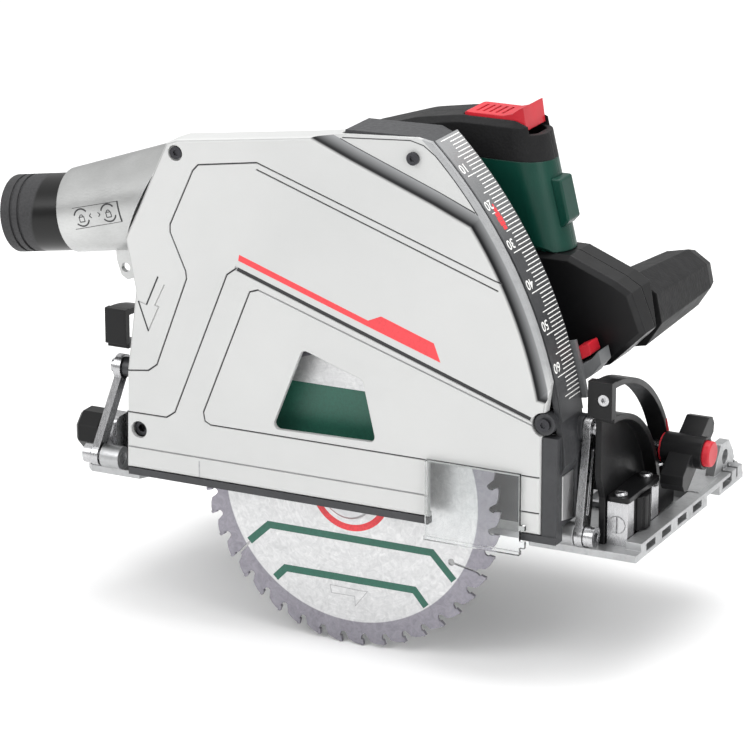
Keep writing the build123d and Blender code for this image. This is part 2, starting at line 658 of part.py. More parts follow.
def guard_housing():
    """Cast guard: back wall, rim, tilt lugs and the seats for the cover and the dust sleeve."""
    face = housing_face()
    body = along_y(face, (-9.0, HOUSING_BACK)) - along_y(offset(face, -3.0), (-10.0, HOUSING_BACK - 3.0))
    back_rim = (HOUSING_BACK - 0.5, 16.0)
    body += along_y(sector(PIVOT, (225.5, RIM_R), (RIM_LOW_ANGLE, RIM_TOP_ANGLE)), back_rim)
    lip = [(2, 199.4), (2, 202.6), (41.6, 203.5), (50.6, 199.6), (50.8, 196.4), (46, 193.4)]
    body += along_y(outline(lip), back_rim)
    body -= block((-100, 106), (-20, 9), (9, 14))
    low, high = -9.38, 25.62
    half = 15.6
    arm = math.dist(ARBOR, PIVOT)
    slot = sector(PIVOT, (arm - half, arm + half), (low, high))
    slot += disc(at_angle(PIVOT, arm, high), half) + disc(at_angle(PIVOT, arm, low), half)
    body -= along_y(slot, (8, 13))
    body += block((109.6, 117.5), (-13.6, -8.0), (10.2, 64))
    body += rod_y(COVER_SCREWS[2], 5.4, (-13.6, -6.0))
    for x, y_back in (((-119.0, -14.0), -8.5), ((-14.0, 49.6), -9.6), ((99.0, 117.5), -8.5)):
        body += block(x, (-14.2, y_back), (10.2, 13.9))
    body += block((-119.0, -108.0), (-9.5, 9.0), (10.2, 13.4))
    body -= block((103.0, 125.0), (-6.4, 20.0), (0.0, 17.7))
    body += rod_y(PIVOT, 7.2, (3.0, 13.0))
    for center in COVER_SCREWS[:2]:
        body += rod_y(center, 3.7, (-9.0, 10.0))
    body += block((108.0, 119.6), (5.6, 16.0), (18.6, 52.0))
    body += block((112.0, 127.0), (20.6, 25.0), (28.8, 48.0))
    body += block((112.0, 118.0), (12.0, 21.0), (28.8, 48.0))
    body += rod_x(FRONT_EYE, 7.0, (112.0, 120.4))
    body += tilt_quadrant((122.4, 127.0)) + tilt_quadrant((-127.0, -122.6))
    body += block((-127.0, -113.0), (8.8, 12.0), (20.0, 60.0))
    body += rod_x(REAR_EYE, 5.0, (-136.8, -126.0)) + rod_x(REAR_EYE, 8.0, (-127.0, -122.6))
    seat = rod_between((-96.0, 10.0, 154.4), (-121.2, 10.0, 147.6), 22.0)
    bore = rod_between((-88.0, 10.0, 156.6), (-124.0, 10.0, 146.8), 19.0)
    body += seat & block((-121, -90), (0, 12), (120, 180))
    body -= bore & block((-125, -80), (-2.5, 10), (120, 180))
    body -= rod_y(PIVOT, 4.02, (-15, 14))
    for center in COVER_SCREWS:
        body -= rod_y(center, 1.85, (-16, 8))
    body -= rod_x(CLAMP, 3.1, (122, 128)) + rod_x(CLAMP, 3.1, (-128, -122))
    body -= rod_x(FRONT_EYE, 2.05, (112.0, 121.0)) + rod_x(REAR_EYE, 2.05, (-138.0, -128.0))
    return body


def tilt_quadrant(x):
    """Arm of the guard that carries a tilt clamp bolt out to the bracket's slot."""
    plate = outline([(20.6, 28.8), (20.6, 50), (27, 55), (68, 47.2), (68, 28.8)]) + disc(CLAMP, 9.4)
    return along_x(plate, x)


def engrave(points, width, depth):
    """Groove in the cover's outer face along a run of straight lines."""
    cutter = None
    for start, end in zip(points, points[1:]):
        length = math.dist(start, end)
        turn = math.degrees(math.atan2(end[1] - start[1], end[0] - start[0]))
        middle = ((start[0] + end[0]) / 2, (start[1] + end[1]) / 2)
        run = Pos(*middle) * (Rot(0, 0, turn) * Rectangle(length + width * 0.6, width))
        cutter = run if cutter is None else cutter + run
    return along_y(cutter, (COVER_Y - 1, COVER_Y + depth))


COVER_GROOVES = (
    ((-120, 65.3), (-106, 67.2), (-101, 71), (-83.4, 118), (-83.8, 122), (-92.3, 141), (-92.2, 145),
     (-79, 174), (-76, 177.2), (-43.5, 182.1), (88, 137.8)),
    ((-43.5, 178.6), (86, 134.2)),
    ((-120, 43.7), (-96, 43.9), (-91.1, 47.4), (-60.6, 123.2), (-55.5, 127.0)),
    ((104.5, 69.7), (-43.3, 117.6), (-48.0, 116.0), (-74.8, 49.8), (-74.0, 45.2), (-70.8, 43.6),
     (49.4, 43.6)),
    ((-120, 25.4), (49.4, 25.4)),
    ((99.4, 25.4), (110, 25.4)),
    ((99.4, 43.6), (110, 43.6)),
)
COVER_STRIPE = ((-55.5, 127.0), (104, 72.6))
CORNER_POINTS = ((150, 75), (150, 240), (-24, 240), (-24, 201.0), (7.0, 188.2), (50.9, 171.4))


def side_cover():
    """Satin cover over the blade, with its window, set-back corner and engraved lines."""
    face = cover_face()
    body = along_y(face, (COVER_Y, -0.4))
    front = body.faces().sort_by(Axis.Y)[0]
    body = fillet(front.edges(), 1.8)
    body -= along_y(offset(face, -2.2), (COVER_Y + COVER_SKIN, 0))
    body -= block((0, 130), (-9.2, 1), (0, 215)) + block((-116.4, 94), (-11.0, 1), (10, 17.5))
    low, high = RAMP_ANGLES
    corner = rim_face(CORNER_POINTS, RAMP_R, low, high)
    body += along_y(face & offset(corner, 3.0), (COVER_Y + 2.2, -9.2))
    body -= extrude(Plane.XZ.offset(-COVER_Y) * corner, amount=-RAMP_DEPTH, taper=RAMP_TAPER)
    body -= along_y(outline([(-19, 90.5), (-36.5, 46.8), (21.3, 48.2), (14, 79.5)], 3.0), (-20, -5))
    body -= block((50.2, 98.4), (-20, -5), (10, 43.2))
    body -= rod_y(COVER_SCREWS[2], 6.2, (-20, -5))
    for points in COVER_GROOVES:
        body -= engrave(points, 0.8, 0.7)
    body -= engrave(COVER_STRIPE, 2.2, 0.7)
    body -= rod_y(COVER_SCREWS[0], 4.0, (-16, -12.9)) + rod_y(COVER_SCREWS[0], 1.8, (-16, -9))
    body -= rod_y(COVER_SCREWS[1], 1.8, (-16, -9)) + rod_y(PIVOT, 4.4, (-16, -8))
    arrow = [(-99.6, 117), (-106.4, 101.6), (-111.0, 102.9), (-105.6, 88), (-99.4, 101.4), (-101.6, 102.0),
             (-96.0, 113.2)]
    body -= engrave(arrow, 0.5, 0.4)
    return body


def cover_screws():
    heights = (-14.4, -13.6, -15.4)
    return group([socket_screw_y(center, y, 1.5, 8.0, 3.2) for center, y in zip(COVER_SCREWS, heights)])


def depth_scale():
    """Thin strip on the rim that shows the cutting depth."""
    return along_y(sector(PIVOT, (RIM_R + 0.05, SCALE_R), (9.0, RIM_TOP_ANGLE - 0.1)), (-8.6, 15.8))


def pivot_pin():
    pin = rod_y(PIVOT, 4.0, (-12.0, 47.4)) + rod_y(PIVOT, 6.0, (45.0, 47.4))
    return pin - along_y(Pos(*PIVOT) * RegularPolygon(2.2, 6), (-12.1, -9.0))


def plunge_spring():
    """Torsion spring round the plunge pin, between the arm's two ears."""
    coil = Pos(PIVOT[0], 23.6, PIVOT[1]) * (Rot(-90, 0, 0) * Helix(2.6, 13.0, 6.6))
    start = coil @ 0
    tangent = coil % 0
    return sweep(Plane(origin=start, z_dir=tangent) * Circle(0.85), path=coil)


SLEEVE_ROOT = (-96.0, 10.0, 154.2)
SLEEVE_END = (-159.0, 10.0, 137.2)
NOZZLE_AXIS = Vector(-0.9887, 0.0, -0.1500)
NOZZLE_LENGTH = 34.8
SLEEVE_FLAT_Y = 32.0        # the handle swings past this side of the sleeve


def along_nozzle(distance):
    """Point on the nozzle's axis, counted outwards from the sleeve's end."""
    return tuple(Vector(*SLEEVE_END) + NOZZLE_AXIS * distance)


def dust_sleeve():
    """Tapered chip outlet on the guard's upper rear corner, flat beside the handle, with a drilled lug."""
    end = (-174.2, 10.0, 134.0)
    sleeve = rod_between(SLEEVE_ROOT, end, 27.0, 20.2) & block((-190, -60), (-40, SLEEVE_FLAT_Y), (90, 200))
    points = [(-133.6, 124), (-133.2, 117), (-130.6, 109.4), (-127.0, 107.2), (-123.6, 108.6), (-124.0, 124)]
    sleeve += along_y(outline(points) - disc((-128.0, 113.5), 2.4), (2.5, 5.5))
    hollow = rod_between(SLEEVE_ROOT, end, 24.2, 17.6)
    hollow &= block((-190, -60), (-40, SLEEVE_FLAT_Y - 2.8), (90, 200))
    sleeve -= hollow + rod_between(along_nozzle(0), along_nozzle(30), 40)
    return sleeve - along_y(offset(cover_face(), 0.6), (-30, 50))


def dust_nozzle():
    """Swivelling hose connector with a spigot inside the sleeve and two grip grooves."""
    tip = NOZZLE_LENGTH
    body = rod_between(along_nozzle(0.5), along_nozzle(tip), 19.8)
    body += rod_between(along_nozzle(-7), along_nozzle(1), 16.4)
    body -= rod_between(along_nozzle(4.0), along_nozzle(tip + 2), 17.0)
    body -= rod_between(along_nozzle(-8), along_nozzle(5), 14.4)
    for start in (23.5, 28.0):
        ends = (along_nozzle(start), along_nozzle(start + 1.6))
        body -= rod_between(*ends, 21.0) - rod_between(*ends, 19.0)
    return body


def chip_window():
    """Clear sliding window over the cut, with a thick lower lip and side hooks."""
    plate = block((49.0, 99.6), (-17.4, -15.4), (4.0, 44.6))
    lip = block((48.6, 100.0), (-18.4, -15.4), (3.4, 5.4))
    for z in ((7.0, 10.4), (16.0, 18.6)):
        plate += block((98.0, 102.4), (-17.4, -15.4), z)
    return plate + lip


def depth_stop_slider():
    """Stop that slides along the rim's back edge, with a finger tab that stands out from the rim."""
    body = along_y(sector(PIVOT, (222.6, 235.0), (10.2, 17.2)), (16.4, 19.2))
    tab = [(231.0, 11.8), (238.0, 12.6), (244.6, 13.9), (244.6, 15.4), (240.0, 14.6), (231.0, 13.9)]
    return body + along_y(outline([at_angle(PIVOT, radius, angle) for radius, angle in tab]), (19.0, 31.4))


def depth_stop_button():
    """Red catch on top of the finger tab."""
    corners = [(232.4, 14.5), (240.4, 15.1), (240.0, 16.5), (232.4, 16.1)]
    return along_y(outline([at_angle(PIVOT, radius, angle) for radius, angle in corners], 0.8), (19.6, 30.8))


# ---- tilt pivots and clamps ----------------------------------------------------------------
def front_link():
    """Flat polished link from the front tilt pivot up to the guard."""
    face = disc(TILT, 5.8) + disc(FRONT_EYE, 6.2)
    face += outline([(1.0, 13.0), (11.0, 10.0), (19.6, 60.0), (10.2, 63.0)])
    link = along_x(face, (120.6, 124.6))
    link -= rod_x(TILT, 3.25, (119, 126)) + rod_x(FRONT_EYE, 2.05, (119, 126))
    groove = outline([(5.6, 20.0), (8.6, 19.4), (14.4, 52.0), (12.0, 52.6)], 1.2)
    return link - along_x(groove, (123.6, 125.0))


def rear_link():
    """Rear link, bent inwards between its two eyes."""
    low = rod_x(TILT, 5.8, (-150.0, -146.0), 3.25)
    high = rod_x(REAR_EYE, 6.4, (-141.2, -137.0), 2.05)
    foot = Plane.XY.offset(14.4) * outline([(-150.0, 2.4), (-146.0, 2.4), (-146.0, 11.0), (-150.0, 11.0)])
    top = Plane.XY.offset(52.0) * outline([(-141.2, 11.6), (-137.2, 11.6), (-137.2, 18.8), (-141.2, 18.8)])
    return low + high + loft([foot, top])


def swing_arms():
    return group([front_link(), rear_link()])


def trunnion_screws():
    """Shouldered screws on which both links turn."""
    front = rod_x(TILT, 3.2, (110.2, 125.4)) + rod_x(TILT, 5.2, (125.0, 130.0))
    front -= along_x(Pos(*TILT) * RegularPolygon(2.6, 6), (127.6, 131.0))
    rear = rod_x(TILT, 3.2, (-150.6, -134.4)) + rod_x(TILT, 5.2, (-155.2, -150.4))
    rear -= along_x(Pos(*TILT) * RegularPolygon(2.6, 6), (-156.0, -152.8))
    return group([front, rear])


def tilt_bolts():
    """Hexagon bolts that pass through both tilt slots, and the screws that hold the links' upper eyes."""
    head = Pos(*CLAMP) * RegularPolygon(5.6, 6)
    front = rod_x(CLAMP, 3.0, (122.0, 149.0)) + along_x(head, (118.6, 122.3))
    rear = rod_x(CLAMP, 3.0, (-152.0, -122.3)) + along_x(head, (-122.5, -118.8))
    upper_front = socket_screw_x(FRONT_EYE, 127.4, 2.7, 12.0, 3.6)
    upper_rear = socket_screw_x(REAR_EYE, -144.0, 2.7, 12.0, 3.6, -1)
    return group([front, rear, upper_front, upper_rear])


def bevel_pointer():
    """Red washer with a tongue that reads the tilt angle."""
    face = disc(CLAMP, 7.4, 3.1) + (outline([(76.0, 34.0), (76.0, 42.0), (71.5, 52.5)]) - disc(CLAMP, 5.0))
    return along_x(face, (BRACKET_FRONT_X[1] + 0.3, BRACKET_FRONT_X[1] + 1.1))


def wing(x, turn, reach):
    """Finger paddle of a clamp knob."""
    paddle = block(x, (4.0, reach), (-5.6, 5.6))
    paddle = chamfer(paddle.edges().filter_by(Axis.X).sort_by(Axis.Y)[-2:], 3.2)
    return Pos(0, CLAMP[0], CLAMP[1]) * (Rot(turn, 0, 0) * paddle)


def front_tilt_knob():
    knob = rod_x(CLAMP, 8.2, (139.6, 161.0))
    knob += wing((145.5, 157.5), 34, 21.0) + wing((144.5, 156.5), 217, 22.6)
    for radius, x in ((3.05, (139, 150)), (3.9, (149.6, 157.0)), (6.9, (156.6, 162))):
        knob -= rod_x(CLAMP, radius, x)
    return knob


def rear_tilt_knob():
    knob = rod_x(CLAMP, 8.2, (-160.0, -143.4))
    for turn in (127, 313):
        knob += wing((-154.0, -145.0), turn, 21.0)
    return knob - rod_x(CLAMP, 3.05, (-153.0, -143.0))


def undercut_button():
    """Red push button in the middle of the front knob."""
    cap = rod_x(CLAMP, 6.5, (160.2, 164.6))
    cap = fillet(cap.edges().filter_by(GeomType.CIRCLE).sort_by(Axis.X)[-1:], 1.0)
    return cap + rod_x(CLAMP, 3.5, (153.6, 160.4))


def tilt_bracket(x, web, head_y):
    """Slotted quadrant that stands on the base; web is a thin plate inside the slot's curve."""
    inner, outer = SLOT_R
    body = along_x(sector(TILT, (outer, outer + BAND), (-4.0, 91.0)), x)
    body += along_x(sector(TILT, (inner - BAND, inner), (-4.6, 89.0)), x)
    body += along_x(sector(TILT, (inner - 0.5, outer + 0.5), (-4.6, 13.0)), x)
    body += along_x(outline([(head_y, 71.4), (8.6, 71.4), (8.6, 90.0), (head_y, 90.0)]), x)
    plate = outline(web) & disc(TILT, inner - 1.0)
    return (body + along_x(plate, (x[0], x[0] + 3.2))) & block((-200, 200), (0, 200), (BASE_TOP, 100))


BRACKET_SCREWS = ((133.0, 76.0), (-136.0, 76.0))
SCREW_SEAT_Z = 25.4
END_STOP = (133.4, 80.8)    # tilt end-stop screw, in X and Z
SET_SCREW = (137.0, 14.6)   # slotted screw of the front adjuster, in X and Z


def bracket_screw_seat(center):
    """Hole and flat seat of the screw that holds a bracket down."""
    return rod_z(center, 1.7, (18.0, 30.0)) + rod_z(center, 3.3, (SCREW_SEAT_Z, 36.0))


def front_tilt_bracket():
    """Front quadrant with its square head, which houses the end stop."""
    web = [(8.0, 74), (8.0, 40), (13.5, 28), (13.5, 0), (20.5, 0), (20.5, 28), (50.0, 28), (50.0, 0),
           (70, 0), (70, 74)]
    body = tilt_bracket(BRACKET_FRONT_X, web, 3.6)
    body += block((125.4, BRACKET_FRONT_X[1]), (3.6, 8.6), (72.0, 89.8))
    body -= rod_y(END_STOP, 3.2, (3.0, 6.6))
    return body - bracket_screw_seat(BRACKET_SCREWS[0])


def rear_tilt_bracket():
    web = [(30.0, 0), (30.0, 48), (40, 60), (70, 60), (70, 0)]
    return tilt_bracket(BRACKET_REAR_X, web, 4.4) - bracket_screw_seat(BRACKET_SCREWS[1])


def base_screws():
    """Screws of the base: bracket, adjuster lid, tilt end stop and adjuster set screw."""
    stop = rod_y(END_STOP, 2.9, (4.0, 6.5)) - along_y(Pos(*END_STOP) * RegularPolygon(1.4, 6), (3.9, 5.6))
    disc_screw = rod_y(SET_SCREW, 4.3, (14.6, 17.9)) - block((136.6, 137.4), (14.0, 15.6), (10.0, 19.2))
    screws = [stop, disc_screw]
    low = SCREW_SEAT_Z + 0.1
    for center in BRACKET_SCREWS:
        head = rod_z(center, 3.0, (low, low + 2.2))
        head -= along_z(Pos(*center) * RegularPolygon(1.5, 6), (low + 1.0, 30.0))
        screws.append(head + rod_z(center, 1.6, (19.0, low + 0.1)))
    for y in (19.0, 50.0):
        dome = rod_z((137.2, y), 3.4, (28.85, 30.6))
        dome = fillet(dome.edges().filter_by(GeomType.CIRCLE).sort_by(Axis.Z)[-1:], 1.2)
        screws.append(dome - block((134.0, 140.4), (y - 0.4, y + 0.4), (30.0, 31.0)))
    return group(screws)


# ---- track adjusters -----------------------------------------------------------------------
ADJUSTER = (135.6, 34.0)    # axis of the front thumbwheel, in X and Y
REAR_KNOB = (25.0, 16.4)    # axis of the rear adjuster knob, in Y and Z


def front_seat():
    """Polished U-shaped seat of the front thumbwheel."""
    x = (131.8, 142.6)
    body = block(x, (15.0, 54.0), (BASE_TOP, 5.8)) + rod_z(ADJUSTER, 2.8, (5.0, 26.2))
    for y in ((15.0, 23.0), (45.4, 54.0)):
        body += block(x, y, (BASE_TOP, 26.0))
    return body - rod_y(SET_SCREW, 4.4, (14.0, 18.0))


def adjuster_top():
    """Black lid over the front thumbwheel."""
    lid = along_z(outline([(131.6, 14.4), (143.2, 14.4), (143.2, 54.6), (131.6, 54.6)], 2.0), (26.3, 28.8))
    return lid - rod_z(ADJUSTER, 2.9, (26.0, 27.6))


def front_adjuster_wheel():
    """Upright thumbwheel with grip flutes."""
    wheel = rod_z(ADJUSTER, 10.4, (8.8, 25.6), 2.8 + RUNNING)
    for index in range(14):
        x, y = at_angle(ADJUSTER, 10.9, 360.0 / 14 * index)
        wheel -= rod_z((x, y), 1.1, (8.0, 26.0))
    return wheel


def rear_seat():
    seat = block((-152.4, -144.0), (17.0, 33.0), (BASE_TOP, 26.5))
    seat = fillet(seat.edges().filter_by(Axis.X).sort_by(Axis.Z)[-2:], 4.0)
    return seat + rod_x(REAR_KNOB, 2.8, (-164.0, -150.0))


def adjuster_seats():
    return group([front_seat(), rear_seat()])


def rear_adjuster_knob():
    """Eight-sided knob on the rear adjuster's pin."""
    face = Pos(*REAR_KNOB) * octagon(11.2)
    knob = along_x(face, (-167.6, -154.0))
    knob = chamfer(knob.faces().sort_by(Axis.X)[0].edges(), 2.0)
    return knob - rod_x(REAR_KNOB, 2.8 + RUNNING, (-164.4, -150.0))


# ---- base ----------------------------------------------------------------------------------
def base_plate():
    """Cast sole plate with its guide-rail groove, ribs, front grille and tilt pivots."""
    low_x, high_x = BASE_X
    right, left = BASE_Y
    corners = [(high_x, right), (high_x, left - 12), (high_x - 8, left), (low_x + 14, left),
               (low_x, left - 14), (low_x, right + 4), (low_x + 4, right)]
    opening = [(-124, right), (-120, 12.6), (-36, 12.6), (-36, 48), (40, 48), (40, 12.6), (91, 12.6),
               (95, right)]
    body = along_z(outline(corners + opening), (SOLE_Z, BASE_TOP))
    body += block((low_x + 10, high_x - 3), (GROOVE_Y[0] - 4, GROOVE_Y[1] + 4), (BASE_TOP - 1, 8.4))
    body += block((high_x - 8.6, high_x), (right + 7, left - 13), (BASE_TOP - 1, 8.0))
    body += block((low_x + 14, high_x - 10), (left - 5, left), (BASE_TOP - 1, 9.0))
    for x in (-100, -60, 64, 100):
        body += block((x - 1.5, x + 1.5), (50, left - 3), (BASE_TOP - 1, 8.0))
    for y in (62, 84, 134):
        body += block((-120, 112), (y - 1.5, y + 1.5), (BASE_TOP - 1, 7.0))
    ear = outline([(118, 6), (122, 15), (128, 22.5), (138, 22.5), (144, 15), (148, 6)], 1.5)
    body += along_x(ear, (141.5, 146.5))
    body -= rod_x((133.0, 14.6), 4.0, (140, 148))
    for y in (24, 44, 64, 84, 124):
        body -= block((high_x - 5.0, high_x + 1), (y - 6.0, y + 6.0), (2.4, 6.2))
    for y in (118, 126, 134):
        body -= block((high_x - 7.4, high_x + 1), (y + 10.6, y + 12.8), (3.0, 10.0))
    body -= block((low_x - 1, high_x + 1), GROOVE_Y, (0, GROOVE_TOP))
    for y in (60.0, 136.0):
        body -= block((-140, 135), (y - 6.1, y + 6.1), (0, 1.5))
    body += rod_x(TILT, 6.0, (109.6, 120.0)) + block((109.6, 120.0), (5.2, 11.0), (3.0, 8.0))
    body += rod_x(TILT, 6.0, (-144.6, -133.8)) + block((-144.6, -133.8), (5.2, 11.0), (3.0, 8.0))
    body -= rod_x(TILT, 3.25, (108, 122)) + rod_x(TILT, 3.25, (-146, -132))
    return body


def sole_strips():
    """Two plastic glide strips let into the sole."""
    return group([block((-139.6, 134.6), (y - 5.8, y + 5.8), (0.0, 1.45)) for y in (60.0, 136.0)])


# ---- build ---------------------------------------------------------------------------------
NODES = [
    base_plate, sole_strips, front_tilt_bracket, rear_tilt_bracket, base_screws, trunnion_screws,
    adjuster_seats, adjuster_top, front_adjuster_wheel, rear_adjuster_knob,
    guard_housing, side_cover, cover_screws, depth_scale, dust_sleeve, dust_nozzle, pivot_pin,
    plunge_spring, swing_arms, tilt_bolts, bevel_pointer, front_tilt_knob, rear_tilt_knob, undercut_button,
    chip_window, depth_stop_slider, depth_stop_button,
    gearbox_housing, gearbox_cover, ball_bearings, motor_housing, motor_end_cap, stator, windings,
    handle_right_shell, handle_left_shell, grip_right_half, grip_left_half, column_badge,
    trigger, handle_pins, switch_module, plunge_release, electronics_board, speed_dial,
    spindle_lock_button, front_handle_bracket, front_handle, casing_screws,
    spindle, spindle_gear, blade_flanges, arbor_bolt, saw_blade,
    countershaft, countershaft_wheel, rotor_shaft, rotor_core, fan,
]

os.makedirs("parts", exist_ok=True)
for make in NODES:
    export_step(make(), "parts/" + make.__name__ + ".step")
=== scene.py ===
import bpy
import bmesh
import json
import math
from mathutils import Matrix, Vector


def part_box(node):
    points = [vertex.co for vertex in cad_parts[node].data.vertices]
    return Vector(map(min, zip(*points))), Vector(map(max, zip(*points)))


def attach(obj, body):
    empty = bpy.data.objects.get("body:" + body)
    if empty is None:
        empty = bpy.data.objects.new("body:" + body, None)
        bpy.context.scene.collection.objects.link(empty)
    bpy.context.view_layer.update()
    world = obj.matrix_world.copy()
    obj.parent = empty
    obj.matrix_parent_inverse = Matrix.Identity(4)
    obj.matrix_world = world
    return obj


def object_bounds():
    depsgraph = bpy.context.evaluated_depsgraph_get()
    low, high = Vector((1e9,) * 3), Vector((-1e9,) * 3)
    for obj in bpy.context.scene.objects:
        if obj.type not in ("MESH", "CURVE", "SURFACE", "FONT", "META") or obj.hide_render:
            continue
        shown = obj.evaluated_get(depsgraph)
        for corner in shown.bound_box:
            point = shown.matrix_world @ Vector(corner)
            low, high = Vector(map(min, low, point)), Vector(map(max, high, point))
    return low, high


# Track plunge saw: finishes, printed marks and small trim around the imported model.
# Places are in metres in the model's own frame. Outlines are in millimetres.

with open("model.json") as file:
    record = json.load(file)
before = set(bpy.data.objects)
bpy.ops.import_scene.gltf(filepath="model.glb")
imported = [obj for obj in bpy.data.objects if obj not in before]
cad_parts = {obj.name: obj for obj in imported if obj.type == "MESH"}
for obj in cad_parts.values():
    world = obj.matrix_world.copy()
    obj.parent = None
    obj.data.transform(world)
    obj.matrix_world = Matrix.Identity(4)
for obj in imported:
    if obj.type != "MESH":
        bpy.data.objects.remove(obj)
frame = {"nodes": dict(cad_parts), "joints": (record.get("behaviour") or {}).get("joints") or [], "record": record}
cad_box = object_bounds()
scene = bpy.context.scene
MM = 0.001


def joint(name):
    return next(item for item in frame["joints"] if item["name"] == name)


ARBOR = joint("blade_spin")["pos_m"]
PIVOT = joint("plunge_hinge")["pos_m"]
COVER_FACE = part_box("side_cover")[0].y
RAMP_DEPTH = 0.0032   # the front corner's ramp falls this far behind the cover's face
BORDER_R = 0.2291     # inner edge of the silver border along the rim, about the plunge pin


# ---- shader building blocks ----------------------------------------------------------------
class Paint:
    """A material's node tree, with short calls for the nodes used below."""

    def __init__(self, name):
        self.material = bpy.data.materials.new(name)
        self.material.use_nodes = True
        self.tree = self.material.node_tree
        self.shader = self.tree.nodes["Principled BSDF"]
        self.place = self.tree.nodes.new("ShaderNodeTexCoord").outputs["Object"]

    def set(self, **values):
        for key, value in values.items():
            self.shader.inputs[key.replace("_", " ")].default_value = value

    def link(self, source, target):
        self.tree.links.new(source, target)

    def add(self, kind, values=(), **settings):
        node = self.tree.nodes.new("ShaderNode" + kind)
        for key, value in settings.items():
            setattr(node, key, value)
        for key, value in dict(values).items():
            socket = node.inputs[key]
            if hasattr(value, "is_output") and value.is_output:
                self.link(value, socket)
            else:
                socket.default_value = value
        return node

    def math(self, operation, first, second=0.0):
        return self.add("Math", {0: first, 1: second}, operation=operation).outputs[0]

    def times(self, first, second):
        return self.math("MULTIPLY", first, second)

    def length(self, first, second):
        """Length of a flat vector that has these two parts."""
        return self.math("SQRT", self.math("ADD", self.times(first, first), self.times(second, second)))

    def parts(self, vector=None):
        """X, Y and Z of a vector, or of the place in the model."""
        return self.add("SeparateXYZ", {0: vector or self.place}).outputs

    def noise(self, scale, detail=3.0, roughness=0.55, vector=None, distortion=0.0):
        values = {"Vector": vector or self.place, "Scale": scale, "Detail": detail, "Roughness": roughness}
        values["Distortion"] = distortion
        return self.add("TexNoise", values).outputs["Fac"]

    def stretched(self, scale):
        return self.add("Mapping", {"Vector": self.place, "Scale": scale}).outputs["Vector"]

    def span(self, value, low, high, out_low=0.0, out_high=1.0):
        values = {"Value": value, "From Min": low, "From Max": high, "To Min": out_low, "To Max": out_high}
        return self.add("MapRange", values).outputs["Result"]

    def mix(self, factor, first, second):
        node = self.tree.nodes.new("ShaderNodeMix")
        node.data_type = "RGBA"
        for socket, value in ((node.inputs[0], factor), (node.inputs[6], first), (node.inputs[7], second)):
            if hasattr(value, "is_output"):
                self.link(value, socket)
            elif isinstance(value, (float, int)):
                socket.default_value = value
            else:
                socket.default_value = (*value[:3], 1.0)
        return node.outputs[2]

    def drift(self, mask, first, second, low=0.3, high=0.7, strength=1.0):
        """Passes from one colour to another, up to a strength, while a mask rises from low to high."""
        return self.mix(self.span(mask, low, high, 0.0, strength), first, second)

    def rounded(self, radius):
        """Normal that is rounded off near edges."""
        return self.add("Bevel", {"Radius": radius}, samples=4).outputs["Normal"]

    def edges(self, radius):
        """Mask that is 1 on rounded or worn edges and 0 on flats."""
        soft = self.rounded(radius)
        hard = self.add("NewGeometry").outputs["True Normal"]
        across = self.add("VectorMath", {0: soft, 1: hard}, operation="DOT_PRODUCT").outputs["Value"]
        return self.span(across, 0.985, 0.86)

    def relief(self, height, strength, distance, radius=0.0):
        """Bump from a height, on normals that are rounded at edges."""
        bump = self.add("Bump", {"Height": height, "Strength": strength, "Distance": distance})
        if radius:
            self.link(self.rounded(radius), bump.inputs["Normal"])
        self.link(bump.outputs["Normal"], self.shader.inputs["Normal"])

    def color(self, value):
        self.link(value, self.shader.inputs["Base Color"])

    def roughness(self, mask, smooth, rough, low=0.3, high=0.7):
        """Roughness that passes from smooth to rough while a mask rises from low to high."""
        self.link(self.span(mask, low, high, smooth, rough), self.shader.inputs["Roughness"])


def shade(color, factor):
    return tuple(min(1.0, channel * factor) for channel in color)


def faded(color):
    """Colour moved a little way towards a pale grey."""
    pale, share = 0.42, 0.12
    return tuple(channel + (pale - channel) * share for channel in color)


# ---- finishes --------------------------------------------------------------------------------
def moulded(name, color, rough=0.45, grain=900.0, depth=0.10, wear=0.35, shine=0.38):
    """Moulded plastic or powder coat: spark texture, slow colour drift, edges that are rubbed lighter."""
    paint = Paint(name)
    edge = 0.0007
    base = paint.drift(paint.noise(35.0, 4.0), shade(color, 0.86), shade(color, 1.14))
    rubbed = paint.times(paint.edges(edge), paint.span(paint.noise(260.0), 0.35, 0.65, 0.25, 1.0))
    paint.color(paint.mix(paint.times(rubbed, wear), base, faded(color)))
    paint.roughness(paint.noise(120.0, 5.0), rough * 0.86, rough * 1.14)
    paint.relief(paint.noise(grain, 2.0), depth, 0.00025, edge)
    paint.set(Specular_IOR_Level=shine)
    return paint.material


def rubbery(name, color):
    """Soft grip: pebbled grain and a dull sheen."""
    paint = Paint(name)
    rough = 0.62
    cells = paint.add("TexVoronoi", {"Vector": paint.place, "Scale": 620.0, "Randomness": 0.8})
    base = paint.drift(paint.noise(60.0, 4.0), shade(color, 0.8), shade(color, 1.25), 0.35, 0.65)
    worn = tuple(channel + 0.012 for channel in color)
    paint.color(paint.mix(paint.times(paint.edges(0.001), 0.5), base, worn))
    paint.roughness(paint.noise(200.0), rough * 0.9, rough * 1.12)
    paint.relief(paint.span(cells.outputs["Distance"], 0.0, 0.8), 0.20, 0.0004, 0.0011)
    paint.set(Sheen_Weight=0.05, Sheen_Roughness=0.5, Specular_IOR_Level=0.20)
    return paint.material


